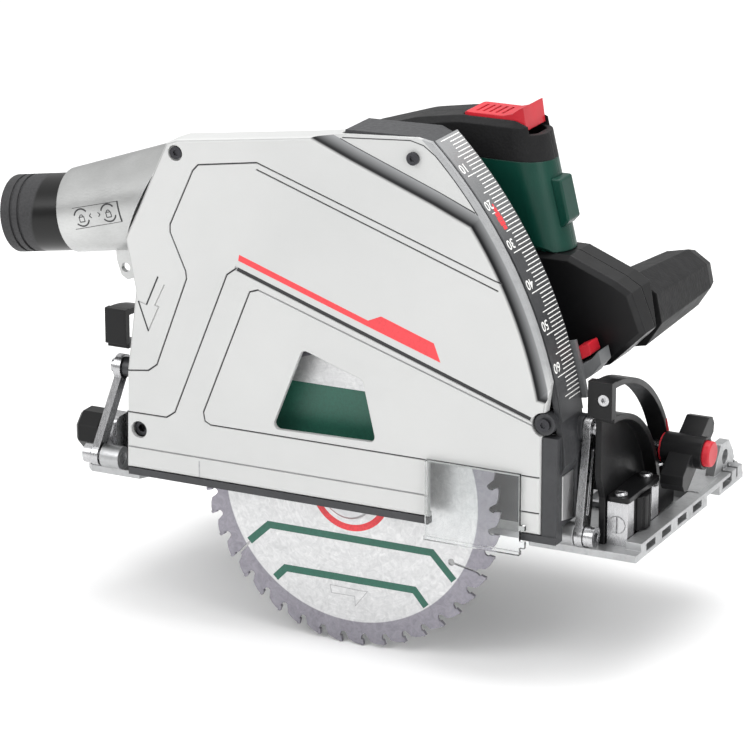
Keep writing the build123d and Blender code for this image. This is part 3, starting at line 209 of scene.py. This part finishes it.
def metal(name, color, rough, direction=(1.0, 1.0, 1.0), grain=1400.0, depth=0.08, wear=0.5, metallic=1.0):
    """Machined or ground metal: fine lines along one direction, brighter edges, faint stains."""
    paint = Paint(name)
    edge = 0.0004
    lines = paint.noise(grain, 3.0, vector=paint.stretched(direction))
    stain = paint.noise(28.0, 5.0, distortion=0.4)
    base = paint.drift(stain, shade(color, 0.84), shade(color, 1.06))
    base = paint.drift(lines, base, shade(color, 0.7), 0.35, 0.65, 0.14)
    paint.color(paint.mix(paint.times(paint.edges(edge), wear), base, shade(color, 1.35)))
    paint.roughness(lines, rough * 0.8, rough * 1.25)
    paint.relief(lines, depth, 0.00015, edge)
    paint.set(Metallic=metallic)
    return paint.material


def cast_metal(name, color, rough, metallic):
    """Sand or pressure casting: soft pebbling, darker hollows, bright rubbed edges."""
    paint = Paint(name)
    edge = 0.0006
    pebble = paint.noise(420.0, 4.0, 0.6)
    patch = paint.noise(45.0, 5.0, distortion=0.3)
    base = paint.drift(patch, shade(color, 0.82), shade(color, 1.12))
    base = paint.drift(pebble, base, shade(color, 0.6), 0.52, 0.75, 0.35)
    paint.color(paint.mix(paint.times(paint.edges(edge), 0.55), base, shade(color, 1.5)))
    paint.roughness(pebble, rough * 0.85, rough * 1.2)
    paint.relief(pebble, 0.3, 0.0002, edge)
    paint.set(Metallic=metallic)
    return paint.material


def cover_finish():
    """Satin silver paint, with painted shade on the ramp round the front corner and a silver border along the rim.
    """
    paint = Paint("satin_cover")
    facing = paint.parts(paint.add("TexCoord").outputs["Normal"])["Y"]
    # mask of faces that slope away from the cover's face: where the painted shade on the ramp goes
    sloped = paint.times(paint.span(facing, -0.985, -0.94), paint.span(facing, -0.70, -0.85))
    place = paint.parts()
    across = paint.math("SUBTRACT", place["X"], PIVOT[0])
    up = paint.math("SUBTRACT", place["Z"], PIVOT[2])
    reach = paint.length(across, up)
    depth = paint.span(place["Y"], COVER_FACE, COVER_FACE + RAMP_DEPTH)
    flake = paint.noise(2600.0, 2.0)
    base = paint.drift(paint.noise(9.0, 3.0), (0.50, 0.505, 0.50), (0.555, 0.558, 0.552))
    base = paint.drift(flake, base, (0.42, 0.425, 0.43), 0.35, 0.65, 0.10)
    rim = paint.times(paint.span(reach, BORDER_R, BORDER_R + 0.0002), paint.span(place["Z"], 0.085, 0.10))
    base = paint.mix(rim, base, paint.mix(paint.noise(300.0), (0.30, 0.305, 0.31), (0.40, 0.405, 0.41)))
    # painted shade: near black where the ramp meets the cover's face, greyer deeper in, standing in for the dark
    # the sloped ramp reflects
    dark = paint.drift(depth, (0.004, 0.004, 0.005), (0.26, 0.265, 0.27), 0.30, 1.0)
    ramp = paint.times(sloped, paint.span(depth, 0.02, 0.20))
    ramp = paint.times(ramp, paint.span(reach, BORDER_R + 0.0004, BORDER_R))
    paint.color(paint.mix(paint.times(ramp, paint.span(place["Z"], 0.06, 0.075)), base, dark))
    paint.roughness(paint.noise(700.0, 3.0, vector=paint.stretched((0.25, 1.0, 1.0))), 0.34, 0.46)
    paint.relief(flake, 0.05, 0.0001, 0.0005)
    paint.set(Metallic=0.15, Specular_IOR_Level=0.30)
    return paint.material


def blade_finish():
    """Ground blade: swirling brush marks in polar lines, and a darker unpainted tooth band."""
    paint = Paint("blade_ground")
    tooth_band = 0.0700
    moved = paint.add("Mapping", {"Vector": paint.place, "Location": (-ARBOR[0], 0.0, -ARBOR[2])})
    offset = paint.parts(moved.outputs["Vector"])
    radius = paint.length(offset["X"], offset["Z"])
    turn = paint.math("ARCTAN2", offset["Z"], offset["X"])
    polar = paint.add("CombineXYZ", {0: paint.times(radius, 900.0), 1: paint.times(turn, 3.0)})
    rings = paint.noise(1.0, 5.0, 0.7, vector=polar.outputs[0])
    mottle = paint.noise(240.0, 4.0, 0.65, distortion=1.5)
    bright = paint.drift(mottle, (0.50, 0.505, 0.51), (0.70, 0.70, 0.70))
    bright = paint.drift(rings, bright, (0.50, 0.50, 0.51), 0.4, 0.62, 0.35)
    band = paint.drift(mottle, (0.215, 0.205, 0.235), (0.30, 0.29, 0.325))
    paint.color(paint.drift(radius, bright, band, tooth_band, tooth_band + 0.0004))
    paint.roughness(rings, 0.30, 0.46)
    paint.relief(paint.math("ADD", rings, paint.times(mottle, 0.6)), 0.08, 0.0001, 0.0002)
    paint.set(Metallic=0.7, Anisotropic=0.3)
    return paint.material


def strip_finish():
    """Depth scale strip: brushed and dark, lighter near its top end."""
    paint = Paint("scale_strip_print")
    lines = paint.noise(1500.0, 3.0, vector=paint.stretched((0.2, 1.0, 0.2)))
    base = paint.drift(paint.parts()["Z"], (0.050, 0.051, 0.054), (0.34, 0.345, 0.35), 0.150, 0.198)
    paint.color(paint.drift(lines, base, (0.20, 0.205, 0.21), strength=0.2))
    paint.roughness(lines, 0.34, 0.5)
    paint.relief(lines, 0.08, 0.0001)
    paint.set(Metallic=0.4)
    return paint.material


def nozzle_finish():
    """Hose nozzle: glossy black neck beside the sleeve, dull dark grey rubber round its mouth."""
    paint = Paint("nozzle_rubber")
    mouth = paint.span(paint.parts()["X"], -0.1745, -0.1760)
    speck = paint.noise(900.0, 3.0)
    grey = paint.drift(speck, (0.028, 0.028, 0.029), (0.042, 0.042, 0.044))
    paint.color(paint.mix(mouth, (0.005, 0.005, 0.005), grey))
    paint.roughness(mouth, 0.28, 0.58, 0.0, 1.0)
    paint.relief(speck, 0.10, 0.0002, 0.0006)
    paint.set(Specular_IOR_Level=0.30)
    return paint.material


def clear_finish():
    """Clear moulded window: faint haze and scuffs."""
    paint = Paint("clear_window")
    haze = paint.noise(300.0, 4.0)
    paint.color(paint.drift(haze, (0.93, 0.95, 0.95), (0.98, 0.99, 0.99)))
    paint.roughness(paint.noise(90.0, 6.0), 0.015, 0.10, 0.55, 0.8)
    paint.relief(haze, 0.02, 0.0001, 0.0003)
    paint.set(Transmission_Weight=1.0, IOR=1.46)
    return paint.material


def printed(name, color, rough=0.5):
    """Screen print, also used for painted shade lines in the cover's grooves: slightly uneven ink."""
    paint = Paint(name)
    ink = paint.noise(900.0, 3.0)
    paint.color(paint.drift(ink, shade(color, 0.85), shade(color, 1.12)))
    paint.roughness(ink, rough * 0.85, rough * 1.15)
    paint.relief(ink, 0.05, 0.00005)
    return paint.material


def lacquered_wire():
    """Enamelled copper with its turns lying side by side."""
    paint = Paint("copper_turns")
    wave = paint.add("TexWave", {"Vector": paint.place, "Scale": 420.0, "Distortion": 1.2}).outputs["Fac"]
    paint.color(paint.mix(wave, (0.42, 0.15, 0.05), (0.78, 0.36, 0.16)))
    paint.roughness(paint.noise(500.0), 0.22, 0.42)
    paint.relief(wave, 0.5, 0.0003)
    paint.set(Metallic=0.9)
    return paint.material


def stacked_sheet():
    """Laminated core: thin sheets seen on edge."""
    paint = Paint("stacked_sheet")
    sheets = paint.math("PINGPONG", paint.times(paint.parts()["Y"], 2000.0), 1.0)
    paint.color(paint.mix(sheets, (0.10, 0.10, 0.11), (0.36, 0.36, 0.37)))
    paint.roughness(paint.noise(400.0), 0.35, 0.55)
    paint.relief(sheets, 0.4, 0.0002)
    paint.set(Metallic=0.9)
    return paint.material


BLACK = (0.006, 0.006, 0.0065)
SOFT_BLACK = (0.007, 0.007, 0.0075)
SATIN = (0.50, 0.505, 0.50)
GREEN = (0.003, 0.042, 0.029)
RED = (0.52, 0.016, 0.028)
FINISH = {
    "cast_aluminium": cast_metal("machined_casting", (0.42, 0.425, 0.43), 0.40, 0.80),
    "glide_plastic": moulded("glide_strip", (0.05, 0.05, 0.052), 0.35),
    "black_metal": moulded("black_powder_coat", SOFT_BLACK, 0.34, 1300.0, 0.18, wear=0.4, shine=0.24),
    "bright_steel": metal("bright_steel", (0.50, 0.50, 0.51), 0.26, (1.0, 1.0, 0.15), depth=0.02),
    "dark_steel": metal("blackened_steel", (0.045, 0.045, 0.05), 0.34, wear=0.9, metallic=0.8),
    "brushed_steel": metal("ground_steel", (0.52, 0.52, 0.53), 0.32, (1.0, 0.1, 1.0)),
    "silver_cover": cover_finish(),
    "dark_casting": cast_metal("dark_painted_casting", (0.036, 0.037, 0.040), 0.40, 0.20),
    "scale_strip": strip_finish(),
    "silver_sleeve": metal("satin_sleeve", SATIN, 0.36, (0.3, 1.0, 1.0), 1600.0, 0.012, 0.2, metallic=0.90),
    "black_plastic": moulded("black_plastic", BLACK, 0.36, shine=0.22),
    "soft_grip": rubbery("soft_black_grip", SOFT_BLACK),
    "green_plastic": moulded("green_plastic", GREEN, 0.34, 1000.0, 0.08, wear=0.25, shine=0.30),
    "red_plastic": moulded("red_plastic", RED, 0.36, 1000.0, 0.10, wear=0.3, shine=0.35),
    "clear_plastic": clear_finish(),
    "blade_steel": blade_finish(),
    "copper": lacquered_wire(),
    "lamination": stacked_sheet(),
    "board_green": moulded("circuit_card", (0.015, 0.10, 0.04), 0.35, grain=600.0, depth=0.2),
    "fan_plastic": moulded("fan_plastic", (0.08, 0.08, 0.085)),
    "grey_plastic": moulded("grey_plastic", (0.13, 0.134, 0.138), 0.38),
}
WHITE_INK = printed("white_ink", (0.82, 0.82, 0.80))
# black and grey serve for print and for painted shade lines in the cover's grooves
BLACK_PRINT_AND_SHADE = printed("black_print_and_groove_shade", (0.018, 0.018, 0.02))
GREY_PRINT_AND_SHADE = printed("grey_print_and_groove_shade", (0.33, 0.33, 0.34))
GREEN_INK = printed("green_ink", (0.018, 0.105, 0.072), 0.42)
RED_INK = printed("red_ink", (0.72, 0.045, 0.055), 0.42)
SILVER_TRIM = metal("silver_trim", (0.56, 0.56, 0.56), 0.34, (1.0, 1.0, 0.2), depth=0.02)

OWN_FINISH = {"dust_nozzle": nozzle_finish()}
for item in frame["record"]["subparts"]:
    node = frame["nodes"][item["node"]]
    node.data.materials.clear()
    node.data.materials.append(OWN_FINISH.get(item["node"]) or FINISH[item["material_slot"]])


# ---- outlines and meshes -------------------------------------------------------------------
def ribbon(points, width):
    """Outline of a line of constant width with mitred corners."""
    left, right = [], []
    for index, point in enumerate(points):
        here = Vector(point)
        before = Vector(points[index - 1]) if index else here - (Vector(points[1]) - here)
        after = Vector(points[index + 1]) if index + 1 < len(points) else here + (here - before)
        first = (here - before).normalized()
        second = (after - here).normalized()
        across = (first + second).normalized().orthogonal()
        half = width / 2 / max(0.4, across.dot(first.orthogonal()))
        left.append(tuple(here + across * half))
        right.append(tuple(here - across * half))
    return left + right[::-1]


def arc_points(center, radius, start, end, count=10):
    """Points along an arc from one angle to another, in degrees."""
    result = []
    for index in range(count + 1):
        turn = math.radians(start + (end - start) * index / count)
        result.append((center[0] + radius * math.cos(turn), center[1] + radius * math.sin(turn)))
    return result


def piece(name, form, body, material):
    """Makes a finished bmesh into a piece that rides on a body."""
    bmesh.ops.recalc_face_normals(form, faces=form.faces)
    mesh = bpy.data.meshes.new(name)
    form.to_mesh(mesh)
    form.free()
    mesh.materials.append(material)
    item = bpy.data.objects.new(name, mesh)
    scene.collection.objects.link(item)
    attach(item, body)
    return item


def prism(form, corners, place, low, high):
    """Adds a closed prism to a bmesh; place maps (a, b, depth) to a point."""
    count = len(corners)
    bottom = [form.verts.new(place(a, b, low)) for a, b in corners]
    top = [form.verts.new(place(a, b, high)) for a, b in corners]
    form.faces.new(list(reversed(bottom)))
    form.faces.new(top)
    for index in range(count):
        after = (index + 1) % count
        form.faces.new((bottom[index], bottom[after], top[after], top[index]))


def build(name, shapes, place, layer, body, material):
    """One piece made of closed prisms, one for each outline, between the layer's two depths."""
    form = bmesh.new()
    for corners in shapes:
        prism(form, corners, place, *layer)
    return piece(name, form, body, material)


def on_side(a, b, depth):
    """Point on a plane that faces -Y: a along X, b along Z, depth along Y."""
    return Vector((a * MM, depth * MM, b * MM))


def facing_front(a, b, depth):
    """Point on a plane that faces +X: a along Y, b along Z, depth along X."""
    return Vector((depth * MM, a * MM, b * MM))


def ring_band(name, center, radii, layer, body, material):
    """Flat closed ring on a plane that faces -Y."""
    count = 96
    inner, outer = radii
    low, high = layer
    form = bmesh.new()
    loops = []
    for reach, depth in ((inner, low), (outer, low), (outer, high), (inner, high)):
        circle = arc_points(center, reach, 0.0, 360.0, count)[:count]
        loops.append([form.verts.new(on_side(a, b, depth)) for a, b in circle])
    for first, second in zip(loops, loops[1:] + loops[:1]):
        for index in range(count):
            after = (index + 1) % count
            form.faces.new((first[index], first[after], second[after], second[index]))
    return piece(name, form, body, material)


# ---- cover: painted shade lines in the grooves and along the ramp, red stripe --------------
COVER_Y = COVER_FACE / MM
RAMP_FLOOR = RAMP_DEPTH / MM
PIVOT_SPOT = (PIVOT[0] / MM, PIVOT[2] / MM)
ON_FACE = (-0.05, 0.05)


def cover_print(name, shapes, layer, ink):
    """Marks on the cover; the layer's two depths are counted from its face."""
    low, high = layer
    build(name, shapes, on_side, (COVER_Y + low, COVER_Y + high), "guard", ink)


OUTER_LINE = ((-119, 65.4), (-106, 67.2), (-101, 71), (-83.4, 118), (-83.8, 122), (-92.3, 141), (-92.2, 145),
              (-79, 174), (-76, 177.2), (-43.5, 182.1), (88, 137.8))
TOP_LINE = ((-43.5, 178.6), (86, 134.2))
MIDDLE_LINE = ((-119, 43.7), (-96, 43.9), (-91.1, 47.4), (-60.6, 123.2), (-55.5, 127.0))
WINDOW_LINE = ((-43.3, 117.6), (-48.0, 116.0), (-74.8, 49.8), (-74.0, 45.2), (-70.8, 43.6), (49.4, 43.6))
FRONT_LINES = [((99.4, height), (108.6, height)) for height in (25.4, 43.6)]
GROOVES = [OUTER_LINE, TOP_LINE, MIDDLE_LINE, WINDOW_LINE] + FRONT_LINES
FINE_GROOVES = (((104.5, 69.7), (-43.3, 117.6)), ((-119, 25.4), (49.4, 25.4)))
HEAVY_GROOVE = ((-55.0, 126.8), (103.6, 72.8))
RAMP_TOP = ((0.5, 198.6), (9.6, 194.9), (53.5, 178.1), (72.4, 170.2))
BORDER = [(1.6, 199.2), (38.0, 201.9), (45.0, 200.2)] + arc_points(PIVOT_SPOT, BORDER_R / MM, 44.6, 32.6)

# painted shade: dark lines on the groove floors and along the ramp's edges stand in for the shade in these creases
cover_print("cover_groove_shade_lines", [ribbon(points, 0.62) for points in GROOVES], (0.52, 0.66), BLACK_PRINT_AND_SHADE)
cover_print("ramp_edge_shade_lines", [ribbon(RAMP_TOP, 0.55), ribbon(BORDER, 0.5)],
            (RAMP_FLOOR - 0.06, RAMP_FLOOR + 0.06), BLACK_PRINT_AND_SHADE)
cover_print("cover_fine_groove_shade_lines", [ribbon(points, 0.5) for points in FINE_GROOVES], (0.54, 0.66), GREY_PRINT_AND_SHADE)
cover_print("cover_heavy_groove_shade_line", [ribbon(HEAVY_GROOVE, 1.9)], (0.50, 0.66), BLACK_PRINT_AND_SHADE)

STRIPE_TAIL = ((-53.6, 134.3), (17.0, 110.2), (16.5, 107.3), (-54.2, 131.2))
STRIPE_HEAD = ((17.0, 110.2), (24.0, 113.3), (52.4, 103.6), (56.0, 94.3), (16.5, 107.3))
STRIP_TICK = ((-77.6, 23.6), (-77.6, 15.2))
ARROW = ((-99.6, 117), (-106.4, 101.6), (-111.0, 102.9), (-105.6, 88))
cover_print("cover_red_stripe", [STRIPE_TAIL, STRIPE_HEAD], ON_FACE, RED_INK)
cover_print("cover_strip_tick", [ribbon(STRIP_TICK, 0.7)], ON_FACE, GREY_PRINT_AND_SHADE)
cover_print("cover_arrow_lines", [ribbon(ARROW[:2], 0.8), ribbon(ARROW[2:], 0.8)], ON_FACE, BLACK_PRINT_AND_SHADE)


# ---- depth scale: ticks, numerals, a small red mark ----------------------------------------
SCALE_R = 232.7       # the strip's outer face, about the plunge pin
SCALE_END = 15.2      # where every tick ends, along Y
SCALE_TOP = 66
ZERO_DEG = 45.6
DEG_PER_MM = 0.522


def on_rim(a, b, depth):
    """Point on the rim: a is the angle in degrees, b runs along Y, depth outwards."""
    turn = math.radians(a)
    reach = (SCALE_R + depth) * MM
    return Vector((PIVOT[0] + reach * math.cos(turn), b * MM, PIVOT[2] + reach * math.sin(turn)))


def degree(depth):
    return ZERO_DEG - DEG_PER_MM * depth


def tick(millimetre):
    """Outline of one tick: longer at the fives, longest at the tens."""
    start = 2.2
    if millimetre % 5 == 0:
        start = -1.6
    if millimetre % 10 == 0:
        start = -5.1
    half = math.degrees(0.24 / SCALE_R)
    low, high = degree(millimetre) - half, degree(millimetre) + half
    return (low, start), (high, start), (high, SCALE_END), (low, SCALE_END)


def figure_mesh(value):
    """Flat figures 5 mm high, on the plane of X and Y."""
    text = bpy.data.curves.new("figure", "FONT")
    text.body = str(value)
    text.align_x = "CENTER"
    text.size = 7.0
    text.offset = 0.06
    text.extrude = 0.05
    text.resolution_u = 4
    holder = bpy.data.objects.new("figure", text)
    mesh = bpy.data.meshes.new_from_object(holder)
    bpy.data.objects.remove(holder)
    bpy.data.curves.remove(text)
    return mesh


def numerals():
    """The depth figures, upright for somebody behind the saw, bent onto the rim."""
    half_height, middle_y, before_tick = 2.5, -3.9, 2.0
    form = bmesh.new()
    for value in range(10, SCALE_TOP, 10):
        mesh = figure_mesh(value)
        middle = degree(value - before_tick)
        for vertex in mesh.vertices:
            along = math.degrees((vertex.co.y - half_height) / SCALE_R)
            vertex.co = on_rim(middle - along, middle_y - vertex.co.x, vertex.co.z)
        form.from_mesh(mesh)
        bpy.data.meshes.remove(mesh)
    bmesh.ops.remove_doubles(form, verts=form.verts, dist=1e-7)
    piece("scale_numerals", form, "guard", WHITE_INK)


def blot(value, start, end):
    """Outline of a one-millimetre step of the red mark."""
    low, high = degree(value + 0.5), degree(value - 0.5)
    return (low, start), (high, start), (high, end), (low, end)


BLOTS = ((18.5, -0.9, 0.3), (19.6, -2.0, 0.9), (20.7, -3.2, 1.2),
         (21.8, -3.6, 1.5), (22.9, -3.4, 1.4), (24.0, -2.6, 0.8))
ticks = [tick(millimetre) for millimetre in range(SCALE_TOP + 1)]
build("scale_ticks", ticks, on_rim, (-0.05, 0.05), "guard", WHITE_INK)
numerals()
build("scale_red_mark", [blot(*row) for row in BLOTS], on_rim, (-0.05, 0.06), "guard", RED_INK)


# ---- blade print ----------------------------------------------------------------------------
BLADE_FACE = -0.7
INK_LAYER = (BLADE_FACE - 0.04, BLADE_FACE + 0.04)
CENTER = (ARBOR[0] / MM, ARBOR[2] / MM)


def blade_print(name, shapes, ink):
    build(name, shapes, on_side, INK_LAYER, "blade_spindle", ink)


def chord_band(low, high, reach):
    """Outline of the part of a disc about the arbor that lies between two heights."""
    first = math.degrees(math.asin((low - CENTER[1]) / reach))
    second = math.degrees(math.asin((high - CENTER[1]) / reach))
    front = arc_points(CENTER, reach, first, second, 24)
    return front + arc_points(CENTER, reach, 180.0 - second, 180.0 - first, 24)


BAR_ONE = ((-57.1, -20.3), (-45.9, -9.8), (45.1, -9.8), (57.2, -22.5))
BAR_TWO = ((-42.4, -37.5), (-36.6, -31.5), (35.5, -31.2), (42.0, -38.8))
FLOW = ((-11.5, -36.2), (5.9, -36.7), (9.5, -36.5), (2.7, -45.3), (2.3, -40.2), (-10.6, -40.4),
        (-11.5, -36.2))
blade_print("blade_green_bars", [ribbon(BAR_ONE, 3.8), ribbon(BAR_TWO, 3.8)], GREEN_INK)
ring_band("blade_red_ring", CENTER, (18.8, 22.2), INK_LAYER, "blade_spindle", RED_INK)
blade_print("blade_arrow", [ribbon(FLOW, 0.34)], GREY_PRINT_AND_SHADE)
blade_print("blade_green_field", [chord_band(41.5, 68.6, 62.0)], GREEN_INK)


# ---- guard's front edge plate ---------------------------------------------------------------
def soften(item, width):
    """Rounds the sharp edges of a piece."""
    modifier = item.modifiers.new("soft_edges", "BEVEL")
    modifier.width = width * MM
    modifier.segments = 2
    modifier.limit_method = "ANGLE"


EDGE_X = 117.5
EDGE_PLATE = ((-7.6, 21.0), (5.2, 18.4), (5.2, 43.4), (-7.6, 43.6))
plate = build("guard_edge_plate", [EDGE_PLATE], facing_front, (EDGE_X - 0.3, EDGE_X + 0.5), "guard",
              SILVER_TRIM)
soften(plate, 0.2)


# ---- sleeve: lock marks in a framed panel ---------------------------------------------------
SLEEVE_A = Vector((-96.0, 10.0, 154.2))
SLEEVE_B = Vector((-174.2, 10.0, 134.0))
SLEEVE_AXIS = (SLEEVE_B - SLEEVE_A).normalized()
SLEEVE_LENGTH = (SLEEVE_B - SLEEVE_A).length
SLEEVE_SIDE = Vector((0.0, -1.0, 0.0))
SLEEVE_UP = SLEEVE_AXIS.cross(SLEEVE_SIDE)
SLEEVE_ROOT_R = 27.0
SLEEVE_NARROWING = 6.8


def on_sleeve(a, b, depth):
    """Point on the tapered sleeve: a is the distance from its root, b the arc height, depth outwards."""
    reach = SLEEVE_ROOT_R - SLEEVE_NARROWING * a / SLEEVE_LENGTH
    turn = b / reach
    outwards = SLEEVE_SIDE * math.cos(turn) + SLEEVE_UP * math.sin(turn)
    return (SLEEVE_A + SLEEVE_AXIS * a + outwards * (reach + depth)) * MM


def sleeve_lines(points, width):
    """Short prisms along a line drawn on the sleeve, so that it bends with the cone."""
    shapes = []
    for start, end in zip(points, points[1:]):
        start, end = Vector(start), Vector(end)
        count = max(1, int((end - start).length / 2.0))
        across = (end - start).normalized().orthogonal() * width / 2
        for index in range(count):
            low = start.lerp(end, index / count)
            high = start.lerp(end, (index + 1) / count)
            corners = (low - across, high - across, high + across, low + across)
            shapes.append([tuple(corner) for corner in corners])
    return shapes


def padlock(center):
    """A padlock with an arc above and below it."""
    a, b = center
    left, right, low, high = a - 1.5, a + 1.5, b - 2.2, b + 0.4
    lock_body = [(left, low), (right, low), (right, high), (left, high), (left, low)]
    shapes = sleeve_lines(arc_points(center, 4.5, 20, 140), 0.8)
    shapes += sleeve_lines(arc_points(center, 4.5, 200, 320), 0.8)
    shapes += sleeve_lines(lock_body, 0.5)
    shapes += sleeve_lines(arc_points((a, high), 1.1, 0, 180, 6), 0.45)
    return shapes


panel = sleeve_lines([(26.4, 5.4), (54.6, 4.8)], 0.28) + sleeve_lines([(26.2, -5.2), (55.6, -6.2)], 0.28)
panel += sleeve_lines([(26.2, 5.6), (26.0, -5.2)], 0.9)
marks = padlock((32.8, 0.2)) + padlock((49.8, -0.5))
marks += sleeve_lines([(39.2, 1.1), (38.0, 0.0), (39.2, -1.1)], 0.5)
marks += sleeve_lines([(43.6, 1.0), (44.8, -0.1), (43.6, -1.2)], 0.5)
build("sleeve_lock_marks", panel + marks, on_sleeve, (-0.06, 0.07), "guard", BLACK_PRINT_AND_SHADE)


# ---- floor, light, camera -------------------------------------------------------------------
def floor():
    """Pale floor just under the lowest point of the model."""
    low = cad_box[0][2] - 0.0002
    side = 6.0
    mesh = bpy.data.meshes.new("studio_floor")
    corners = [(-side, -side, low), (side, -side, low), (side, side, low), (-side, side, low)]
    mesh.from_pydata(corners, [], [(0, 1, 2, 3)])
    item = bpy.data.objects.new("studio_floor", mesh)
    scene.collection.objects.link(item)
    paint = Paint("pale_floor")
    paint.color(paint.mix(paint.noise(3.0), (0.90, 0.90, 0.90), (0.93, 0.93, 0.93)))
    paint.roughness(paint.noise(8.0), 0.55, 0.7)
    mesh.materials.append(paint.material)


def soft_light(name, spot, target, size, energy):
    data = bpy.data.lights.new(name, "AREA")
    data.shape = "RECTANGLE"
    data.size, data.size_y = size
    data.energy = energy
    item = bpy.data.objects.new(name, data)
    item.location = spot
    item.rotation_euler = (Vector(target) - Vector(spot)).to_track_quat("-Z", "Y").to_euler()
    scene.collection.objects.link(item)


def camera():
    data = bpy.data.cameras.new("camera")
    data.sensor_width = 36.0
    data.lens = 192.7
    item = bpy.data.objects.new("camera", data)
    item.location = (0.8405, -1.6653, 0.6790)
    direction = Vector((-0.42405, 0.85202, -0.30700))
    item.rotation_euler = direction.to_track_quat("-Z", "Y").to_euler()
    scene.collection.objects.link(item)
    scene.camera = item


def studio_world():
    """Soft room: bright overhead, darker near the horizon."""
    world = bpy.data.worlds.new("studio")
    world.use_nodes = True
    tree = world.node_tree
    place = tree.nodes.new("ShaderNodeTexCoord")
    split = tree.nodes.new("ShaderNodeSeparateXYZ")
    level = tree.nodes.new("ShaderNodeMapRange")
    for socket, value in (("From Min", 0.0), ("From Max", 0.75), ("To Min", 0.38), ("To Max", 1.05)):
        level.inputs[socket].default_value = value
    tree.links.new(place.outputs["Generated"], split.inputs[0])
    tree.links.new(split.outputs["Z"], level.inputs["Value"])
    tree.links.new(level.outputs["Result"], tree.nodes["Background"].inputs["Strength"])
    tree.nodes["Background"].inputs["Color"].default_value = (1.0, 1.0, 1.0, 1.0)
    scene.world = world


floor()
camera()
studio_world()
soft_light("key_left", (-0.9, -1.5, 1.3), (0.0, 0.0, 0.06), (1.2, 1.2), 16.0)
soft_light("fill_right", (1.6, -0.7, 0.9), (0.05, 0.05, 0.08), (0.9, 1.2), 11.0)
soft_light("top_soft", (0.1, 0.25, 1.5), (0.0, 0.05, 0.05), (1.4, 1.0), 17.0)
scene.view_settings.view_transform = "Standard"
